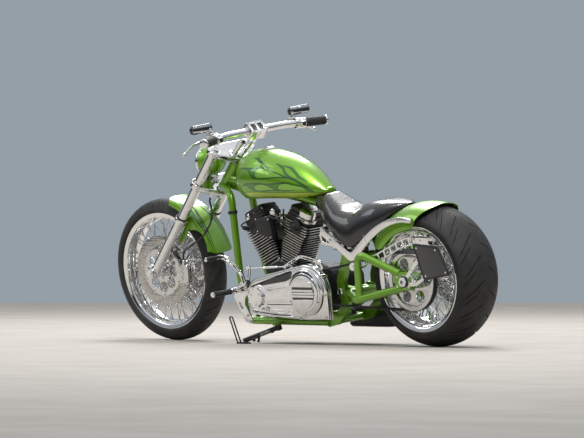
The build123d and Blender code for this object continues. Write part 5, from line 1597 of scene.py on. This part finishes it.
feet.both(lathe(toe, 26), 1, at(1274, 0, 426))
feet.both(lathe([(0, 0), (9.4, 0), (9.4, 3), (6, 4.4), (0, 4.6)], 24), 0, at(1274, 239, 426))
feet.each_side(bolt(6, 5, 12), 2, 145, ((1100, 122), (1120, 150), (1150, 292)))
feet.build("foot_controls_ribbed", ["chrome", "rubber", "steel"], "chrome", ["foot_controls"])

# Shift linkage: pierced arm and boot, rod with its sleeve, and a pierced strap over the clutch
ROD_Y = 186
shift = Shape()
arm = band([(1052, 386, 18), (1054, 362, 15), (1062, 330, 15), (1078, 308, 16), (1100, 292, 20)], 6)
shift.put(plate([arm, band([(1054, 368, 6), (1062, 334, 6)], 1)], 172.6, 179.3, 1.4, 2))
shift.put(lathe([(0, 174), (12, 174), (12, 181), (9, 184), (0, 184.4)], 22), 0, at(1100, 0, 292))
shift.put(lathe(
    [(0, 0), (13, 0), (13, 5), (10, 8), (12, 12), (8, 16), (9, 20), (5, 24), (0, 24)], 20
), 1, at(1066, 176, 302) @ UP)
shift.put(lathe([(0, 176), (7.6, 176), (7.6, 191), (5, 193), (0, 193)], 20), 0, at(1052, 0, 379))
shift.put(tube([(1052, ROD_Y, 379), (790, ROD_Y, 391)], 4, 14))
shift.put(tube([(930, ROD_Y, 384.6), (860, ROD_Y, 387.8)], 7.4, 20))
for x, z in ((936, 384.3), (852, 388.2)):
    shift.put(pin(6.6, -4, 4, 6), 0, turn_to((-262, 0, 12), (x, ROD_Y, z)))
shift.each(lathe(
    [(0, -7), (5, -6.4), (8, -2), (8, 2), (5, 6.4), (0, 7)], 20
), 0, ROD_Y, ((1046, 379.3), (798, 390.6)))
strap = band([
    (798, 389, 15), (780, 399, 15), (736, 419, 15), (690, 437, 16), (640, 431, 15), (596, 421, 15),
    (562, 410, 16), (549, 388, 15),
], 5)
strap_holes = [band([(768, 404, 6), (722, 424, 6)], 1), band([(668, 435, 7), (600, 422, 7)], 1)]
shift.put(plate([strap] + strap_holes, 181, 191, 1.6, 3))
shift.each(
    lathe([(0, 188), (8, 188), (8, 195), (6, 197), (0, 197)], 20), 0, 0, ((690, 437), (562, 410), (790, 391))
)
shift.put(lathe([(0, 94.4), (9, 94.4), (9, 160), (7, 162), (0, 162)], 24), 0, at(756, 0, 352))
shift.put(ribbon([(752, 347, 18), (790, 391, 14)], 1, 150, 160, 1.6, 2))
shift.put(pin(6, 155, 190, 18), 0, at(790, 0, 391))
shift.build("shift_linkage_pierced", ["chrome", "rubber"], "chrome", ["shift_linkage"])

# Drive belt with teeth inside, and a ladder guard over its upper run
belt_out = hull(circle(0, REAR_Z, 144.3, 128) + circle(PULLEY_X, PULLEY_Z, 77.3, 96))
belt_in = hull(circle(0, REAR_Z, 138.9, 128) + circle(PULLEY_X, PULLEY_Z, 71.9, 96))
belt = Shape().put(plate([belt_out, belt_in], 139, 165, 0.8, 1))
for (x0, z0), (x1, z1) in zip(belt_in, belt_in[1:] + belt_in[:1]):
    length = math.dist((x0, z0), (x1, z1))
    if length > 200:
        way = Vector((x1 - x0, z1 - z0)) / length
        side = Vector((-way.y, way.x))
        if side.dot(Vector((320 - x0, 308 - z0))) < 0:
            side = -side
        count = int(length / 11)
        for k in range(count):
            base = Vector((x0, z0)) + way * (k + 0.5) * length / count
            corners = [base - way * 3, base + way * 3, base + way * 2 + side * 3, base - way * 2 + side * 3]
            belt.put(plate([[tuple(c) for c in corners]], 140, 164, 0.3, 1))
        for k in range(3):
            lines = [(x0 + way.x * 2, z0 + way.y * 2, 1.0), (x1 - way.x * 2, z1 - way.y * 2, 1.0)]
            belt.put(ribbon([
                (x - side.x * 5.6, z - side.y * 5.6, w) for x, z, w in lines
            ], 1, 144 + k * 7, 146 + k * 7, 0.2, 1))
belt.build("drive_belt_toothed", ["rubber"], "belt_rubber", ["drive_belt"])

GUARD = [
    (364, 392), (300, 406), (218, 427), (160, 450), (110, 470), (52, 494), (0, 509), (-60, 517), (-110, 518),
    (-150, 513),
]
guard_run = smooth(GUARD, 8)
places = [0.0]
for a, b in zip(guard_run, guard_run[1:]):
    places.append(places[-1] + math.dist(a, b))


def on_guard(s, off):
    """Point a distance along the guard and off to its side."""
    for i in range(len(places) - 1):
        if s <= places[i + 1] or i == len(places) - 2:
            break
    a, b = Vector(guard_run[i]), Vector(guard_run[i + 1])
    spot = a.lerp(b, (s - places[i]) / (places[i + 1] - places[i]))
    way = (b - a).normalized()
    return tuple(spot + Vector((-way.y, way.x)) * off)


windows = []
for k in range(10):
    s0, s1 = 12 + k * 44, 45 + k * 44
    low, high = [
        on_guard(s0 + (s1 - s0) * t / 3, -12) for t in range(4)
    ], [on_guard(s0 + (s1 - s0) * t / 3, 12) for t in range(4)]
    windows.append(soften(low + high[::-1], 4, 3))
guard = Shape()
guard.put(plate([band([(x, z, 40) for x, z in GUARD], 8)] + windows, 169.6, 174.4, 1.2, 2))
guard.put(ribbon([(*on_guard(s, 18.6), 3) for s in range(6, 520, 40)], 4, 166, 175.6, 0.8, 2))
for s in (14, 260, 480):
    guard.put(bolt(5, 4, 12), 0, at(*[on_guard(s - 8, 0)[0], 174, on_guard(s - 8, 0)[1]]))
guard.build("belt_guard_ladder", ["chrome"], "chrome", ["belt_guard"])


# Exhaust: two pipes with shields and clamps into a ribbed muffler
PIPE_Y = -168
exhaust = Shape()
front_port = bank(1) @ Vector((52, -71.2, 334))
rear_port = bank(-1) @ Vector((-60, -71.2, 334))
out = Vector((0, -78, 0))
front_pipe = rounded(
    [front_port, front_port + out, (1042, -163, 340), (1018, PIPE_Y, 105), (730, PIPE_Y, 105)], 46, 8
)
rear_pipe = rounded([rear_port, rear_port + out, (700, PIPE_Y, 400), (700, PIPE_Y, 140)], 46, 8)
for run in (front_pipe, rear_pipe):
    exhaust.put(tube(run, 20, 32))
    exhaust.put(lathe(
        [(20, 0), (29, 0), (30, 2), (30, 8), (28, 10), (20, 10)], 32, True
    ), 1, turn_to(run[1] - run[0], run[0]))
    for k in range(2):
        a = pi * k + 0.6
        exhaust.put(bolt(4.5, 6, 6), 2, turn_to(run[1] - run[0], run[0]) @ at(25 * cos(a), 9, 25 * sin(a)))
shields = [
    ((1038, -165, 312), (1022, PIPE_Y, 168)), ((700, PIPE_Y, 376), (700, PIPE_Y, 176)),
    ((960, PIPE_Y, 105), (790, PIPE_Y, 105)),
]
for start, end in shields:
    start, end = Vector(start), Vector(end)
    way = end - start
    length = way.length
    exhaust.put(lathe([(21, 0), (23.4, 1.5), (23.4, length - 1.5), (21, length)], 32), 1, turn_to(way, start))
    for place in (0.12, 0.88):
        ring = lathe([(23, -5), (24.8, -4.2), (24.8, 4.2), (23, 5)], 32, True)
        exhaust.put(ring, 2, turn_to(way, start.lerp(end, place)))
        exhaust.put(block(-6, 6, -27.5, -22, -4, 4, 1), 2, Matrix.Translation(start.lerp(end, place)))
    for k in range(7):
        spot = start.lerp(end, 0.24 + k * 0.087)
        slot = [tuple((way.normalized() * s).xz) for s in (-2.2, 2.2)]
        across = Vector((-way.z, way.x)).normalized() * 11
        corners = [
            Vector(slot[0]) - across, Vector(slot[1]) - across, Vector(slot[1]) + across,
            Vector(slot[0]) + across,
        ]
        exhaust.put(pad([tuple(c) for c in corners], 2, -22.6, -20.4, 0.4, 1), 0, Matrix.Translation(spot))
muffler = soften([(740, 60), (740, 150), (360, 150), (330, 118), (352, 72), (480, 60)], 22, 6)
exhaust.put(plate([muffler], -206, -140, 13, 5))
exhaust.put(
    pad([(700, 78), (700, 132), (392, 132), (372, 110), (386, 84), (480, 78)], 14, -208.6, -204, 1.6, 2)
)
for k in range(6):
    x = 440 + k * 44
    exhaust.put(pad([(x, 88), (x + 10, 88), (x + 26, 122), (x + 16, 122)], 4, -210, -207, 0.8, 1), 2)
for x in (392, 716):
    exhaust.put(bolt(5, 5, 12), 2, turn_to((0, -1, 0), (x, -206, 105 if x < 400 else 76)))
for z in (92, 124):
    tip = lathe([(10, -14), (14, -16), (15.5, -13), (15.5, 12), (12, 12), (10, 8)], 28, True)
    exhaust.put(tip, 2, turn_to((-1, 0, -0.1), (344, -173, z - 2)))
exhaust.build("exhaust_shielded", ["black", "steel", "chrome"], "black_enamel", ["exhaust"], sharp=35)

# Axle nuts with their bore left open, plate bracket and the bare dark plate
rear_axle = Shape()
rear_axle.both(lathe([(9, 198.2), (13, 198.2), (13, 227.4), (11.8, 228.4), (9, 228.4)], 40, True), 0, rear_at)
rear_axle.both(lathe(
    [(12.8, 212.8), (22.4, 212.8), (24, 214.4), (24, 223.5), (22, 225.6), (12.8, 226)], 6, True
), 0, rear_at)
rear_axle.both(lathe([(22, 212.4), (28, 212.4), (28, 213.6), (27, 214.2), (22, 214.2)], 40, True), 1, rear_at)
rear_axle.put(pin(12.7, -197.6, 197.6, 32), 0, rear_at)
rear_axle.build("rear_axle_nuts", ["chrome", "rubber"], "chrome", ["rear_axle"])

bracket = Shape()
bracket.put(plate([circle(0, REAR_Z, 30, 48), circle(0, REAR_Z, 13.2, 32)], 207.3, 212.2, 1.2, 3))
bracket.put(ribbon([
    (-20, 352, 20), (-56, 388, 20), (-96, 428, 21), (-122, 450, 24), (-150, 470, 26)
], 5, 207.3, 212.2, 1.2, 3))
bracket.put(ribbon([
    (-24, 320, 18), (-62, 318, 16), (-104, 334, 16), (-150, 366, 16), (-168, 400, 18)
], 5, 207.3, 212.2, 1.2, 3))
bracket.put(plate([
    soften([(-112, 486), (-236, 478), (-288, 388), (-170, 364)], 14),
    soften([(-134, 468), (-226, 462), (-266, 398), (-180, 382)], 12),
], 221, 226, 1.2, 2), 1)
bracket.each(pin(8, 209, 229.7), 0, 0, ((-140, 462), (-172, 396)))
bracket.each(bolt(5, 3.6, 12), 0, 212, ((-52, 384), (-96, 428)))
bracket.build("plate_bracket_shaped", ["chrome", "black"], "chrome", ["plate_bracket"])

board = Shape()
board_outline = soften([(-94, 512), (-258, 502), (-320, 367), (-150, 340)], 12)
board.put(plate([board_outline], 230, 234, 1.4, 3))
rim_in = soften([(-106, 501), (-251, 492), (-306, 374), (-156, 351)], 8)
board.put(plate(
    [soften([(-97, 509), (-256, 499.5), (-317, 368.5), (-152, 343)], 11), rim_in], 233.4, 235.6, 0.7, 2
), 1)
board.each(bolt(4.6, 3, 12), 2, 233.6, ((-122, 490), (-240, 482), (-294, 380), (-166, 362)))
board.build("bare_plate_framed", ["plate", "black", "chrome"], "dark_plate", ["number_plate"])

# Fittings on the frame and swingarm
fittings = Shape()
strap_way = Vector((-30, 20, -359))
strap_at = Vector((1235.5, 70.3, 630))
fittings.put(lathe(
    [(17, -8), (20.4, -8), (21, -6.5), (21, 6.5), (20.4, 8), (17, 8)], 32, True
), 1, turn_to(strap_way, strap_at))
fittings.put(block(-6, 8, 18, 27, -6, 6, 1.5), 1, Matrix.Translation(strap_at))
fittings.both(lathe(
    [(0, 122), (19, 122), (19, 133.6), (16.5, 136.4), (10, 137), (8.6, 134.6), (0, 134.6)], 36
), 0, at(504, 0, 266))
fittings.each_side(lathe(
    [(0, 122.4), (5.4, 122.4), (5.4, 123.8), (3.6, 124.1), (3.6, 122.9), (0, 122.9)], 16
), 2, 0, ((506, 313), (498, 239), (486, 372)))
fittings.each_side(bolt(5.4, 4.4, 12), 0, 206.8, ((44, 352), (46, 308), (-26, 306)))
fittings.both(pad(oblong(-52, -34, 318, 342), 3, 182, 203, 2, 2))
fittings.both(tube([(-62, 192, 330), (-40, 192, 330)], 5, 12))
fittings.both(pin(9, 0, 6, 6), 0, turn_to((-1, 0, 0), (-52, 192, 330)))
for x, z in ((660, 140), (1010, 140), (1100, 140)):
    fittings.both(
        pad([(x - 16, 118), (x + 16, 118), (x + 12, z + 8), (x - 12, z + 8)], 5, 95, 103, 1.5, 2), 1
    )
    fittings.both(bolt(5, 4.4, 12), 0, at(x, 102.6, z - 2))
for s in (580, 722):
    ring = lathe([(29, -5), (32, -4), (32, 4), (29, 5)], 40, True)
    fittings.put(ring, 3, fork_frame @ at(-FORK_OFFSET, 0, s) @ UP)
tail_loop = arc_through((25.9, 714), (36, 726.6), (28.8, 735.6), 5)
tail_loop += arc_through((28.8, 735.6), (0, 744), (-28.8, 735.6), 10)[1:]
tail_loop += arc_through((-28.8, 735.6), (-36, 726.6), (-25.9, 714), 5)[1:]
dome = []
for x, scale in (
    (641, 1.0), (636, 0.985), (632, 0.92), (629, 0.8), (627.2, 0.6), (626.4, 0.3), (626.2, 0.02)
):
    dome.append([(x, y * scale, 729 + (z - 729) * scale) for y, z in tail_loop])
fittings.put(grid(dome, True), 3)
fittings.build("frame_fittings", ["chrome", "rubber", "steel", "paint"], "chrome", sharp=35)

# Oil tank with its filler and bands
oil = Shape()
oil.put(pad([(470, 452), (600, 452), (604, 552), (560, 556), (500, 500), (470, 486)], 14, -64, 64, 10, 4))
for y in (-34, 34):
    oil.put(
        pad([(467, 450), (603, 450), (607, 555), (559, 559), (498, 502), (467, 488)], 14, y - 6, y + 6, 1, 2)
    )
oil.put(block(460, 482, -40, 40, 437.4, 458, 3), 1)
oil.put(lathe([(0, 0), (16, 0), (16, 6), (13, 9), (0, 10)], 28), 1, turn_to((-0.6, 0, 0.7), (530, 40, 526)))
oil.build("oil_tank_banded", ["chrome", "black"], "chrome", ["oil_tank"])

# Brake hose with crimped ends and guides
hose_points = [fork_point(-60, 60, 537.4), fork_point(-60, 60, 498)]
hose_points += [Vector((WHEELBASE + x, y, FRONT_Z + z)) for x, y, z in (
    (-408, 86, 295.4), (-394, 94, 235.4), (-330, 96, 169.4), (-238, 92, 125.4), (-170, 78, 95.4),
    (-163, 78, 35.4),
)]
hose_run = rounded(hose_points, 26, 6)
hose = Shape().put(tube(hose_run, 4.6, 16))
for end, inside in ((hose_run[0], hose_run[1]), (hose_run[-1], hose_run[-2])):
    hose.put(lathe(
        [(0, 0), (7.4, 0), (7.4, 5), (6, 6), (6.6, 8), (6.6, 18), (5, 20), (0, 20)], 20
    ), 1, turn_to(inside - end, end))
for k in (0.36, 0.62):
    i = int(k * len(hose_run))
    hose.put(
        lathe([(4.4, -5), (6.6, -4), (6.6, 4), (4.4, 5)], 18, True), 2,
        turn_to(hose_run[i + 1] - hose_run[i - 1], hose_run[i]),
    )
hose.build(
    "brake_hose_crimped", ["hose", "chrome", "rubber"], "belt_rubber", ["brake_hose"], place="steering",
    sharp=35,
)

# Side stand fittings: collars, a stop peg and its spring
stand = Shape()
hinge, foot = Vector((912, 153, 98)), Vector((1005, 300, 39.5))
leg_way = foot - hinge
for place, size in ((0.2, 12.5), (0.72, 11.5)):
    collar = lathe([(8, -7), (size, -6), (size, 6), (8, 7)], 24, True)
    stand.put(collar, 0, turn_to(leg_way, hinge.lerp(foot, place)))
peg = lathe([(0, 0), (6, 0), (6, 20), (7.5, 21), (7.5, 27), (0, 28)], 18)
stand.put(peg, 0, turn_to((0.1, 0.25, -1), hinge.lerp(foot, 0.56)))
coil = []
for k in range(121):
    a = 2 * pi * k / 12
    coil.append((5.2 * cos(a), 14 + k * 0.42, 5.2 * sin(a)))
stand.put(tube(coil, 1.2, 6), 1, turn_to(leg_way, hinge.lerp(foot, 0.22) + Vector((-15, 4, 8))))
stand.build("side_stand_fittings", ["black", "steel"], "black_enamel", place="side_stand", sharp=35)


# Floor, light and camera
FLOOR_RADIUS = 11.0
floor_mesh = bpy.data.meshes.new("floor")
floor_tool = bmesh.new()
bmesh.ops.create_circle(floor_tool, cap_ends=True, radius=FLOOR_RADIUS, segments=256)
floor_tool.to_mesh(floor_mesh)
floor_tool.free()
floor = bpy.data.objects.new("floor", floor_mesh)
bpy.context.collection.objects.link(floor)
floor_mesh.materials.append(
    surface("pale_floor", (0.4, 0.365, 0.325), (0.46, 0.425, 0.38), (0.75, 0.85), 0.0, 3.0, 0.2, 40)
)

# The sky by height, from straight down at 0 to straight up at 1, and what the camera sees in its place
GROUND_COLOR, ZENITH_COLOR = (0.2, 0.19, 0.18, 1), (2.0, 2.05, 2.1, 1)
SKY_STOPS = (
    (0.5, (0.05, 0.05, 0.05, 1)), (0.54, (0.07, 0.08, 0.09, 1)), (0.58, (0.5, 0.56, 0.64, 1)),
    (0.76, (1.1, 1.16, 1.22, 1)),
)
BACKDROP_COLOR = (0.6, 0.69, 0.77, 1)
SKY_STRENGTH = 0.5
world = bpy.data.worlds.new("studio")
bpy.context.scene.world = world
world.use_nodes = True
sky = world.node_tree
background = sky.nodes["Background"]
direction = sky.nodes.new("ShaderNodeTexCoord")
split = sky.nodes.new("ShaderNodeSeparateXYZ")
sky.links.new(direction.outputs["Generated"], split.inputs[0])
sweep = sky.nodes.new("ShaderNodeValToRGB")
sweep.color_ramp.elements[0].position = 0.0
sweep.color_ramp.elements[0].color = GROUND_COLOR
sweep.color_ramp.elements[1].position = 1.0
sweep.color_ramp.elements[1].color = ZENITH_COLOR
for place, color in SKY_STOPS:
    stop = sweep.color_ramp.elements.new(place)
    stop.color = color
height = sky.nodes.new("ShaderNodeMapRange")
height.inputs["From Min"].default_value = -1.0
sky.links.new(split.outputs["Z"], height.inputs["Value"])
sky.links.new(height.outputs["Result"], sweep.inputs["Fac"])
seen = sky.nodes.new("ShaderNodeLightPath")
pick = sky.nodes.new("ShaderNodeMix")
pick.data_type = "RGBA"
pick.inputs["B"].default_value = BACKDROP_COLOR
sky.links.new(seen.outputs["Is Camera Ray"], pick.inputs["Factor"])
sky.links.new(sweep.outputs["Color"], pick.inputs["A"])
sky.links.new(pick.outputs["Result"], background.inputs["Color"])
background.inputs["Strength"].default_value = SKY_STRENGTH

# Softboxes: place in metres, size in metres, power in watts
LAMPS = (((-3.0, 2.2, 7.5), 0.9, 330.0), ((4.5, 4.0, 4.5), 3.0, 60.0), ((3.1, -3.4, 5.2), 2.6, 330.0))
AIM = Vector((0, 0, 0.4))
for spot, size, power in LAMPS:
    lamp_data = bpy.data.lights.new("softbox", "AREA")
    lamp_data.size = size
    lamp_data.energy = power
    lamp_object = bpy.data.objects.new("softbox", lamp_data)
    lamp_object.location = spot
    lamp_object.rotation_mode = "QUATERNION"
    lamp_object.rotation_quaternion = (AIM - Vector(spot)).to_track_quat("-Z", "Y")
    bpy.context.collection.objects.link(lamp_object)

# Camera fitted to the photo: its width, focal length and horizon in pixels, the rest in metres
VIEW_TURN = radians(45.69)
DISTANCE = 28.0
PHOTO_WIDTH, FOCAL_LENGTH = 584, 5944.4
MIDDLE_ROW, HORIZON_ROW = 219, 194.14
SENSOR_WIDTH = 36.0
TARGET = Vector((-0.00721, -0.1246, 0.7017))
SIDE_SHIFT = 0.07444
FLOOR_SHIFT = 0.4
along = Vector((sin(VIEW_TURN), -cos(VIEW_TURN), 0))
across = Vector((-cos(VIEW_TURN), -sin(VIEW_TURN), 0))
floor.location = -FLOOR_SHIFT * along
camera_data = bpy.data.cameras.new("camera")
camera_data.sensor_width = SENSOR_WIDTH
camera_data.lens = SENSOR_WIDTH * FOCAL_LENGTH / PHOTO_WIDTH
camera_data.clip_end = 200.0
camera = bpy.data.objects.new("camera", camera_data)
camera.location = -DISTANCE * along - SIDE_SHIFT * across + TARGET
camera.rotation_mode = "QUATERNION"
pitch = math.atan((MIDDLE_ROW - HORIZON_ROW) / FOCAL_LENGTH)
camera.rotation_quaternion = (along * cos(pitch) - Vector((0, 0, sin(pitch)))).to_track_quat("-Z", "Y")
bpy.context.collection.objects.link(camera)
bpy.context.scene.camera = camera
bpy.context.scene.view_settings.view_transform = "Standard"
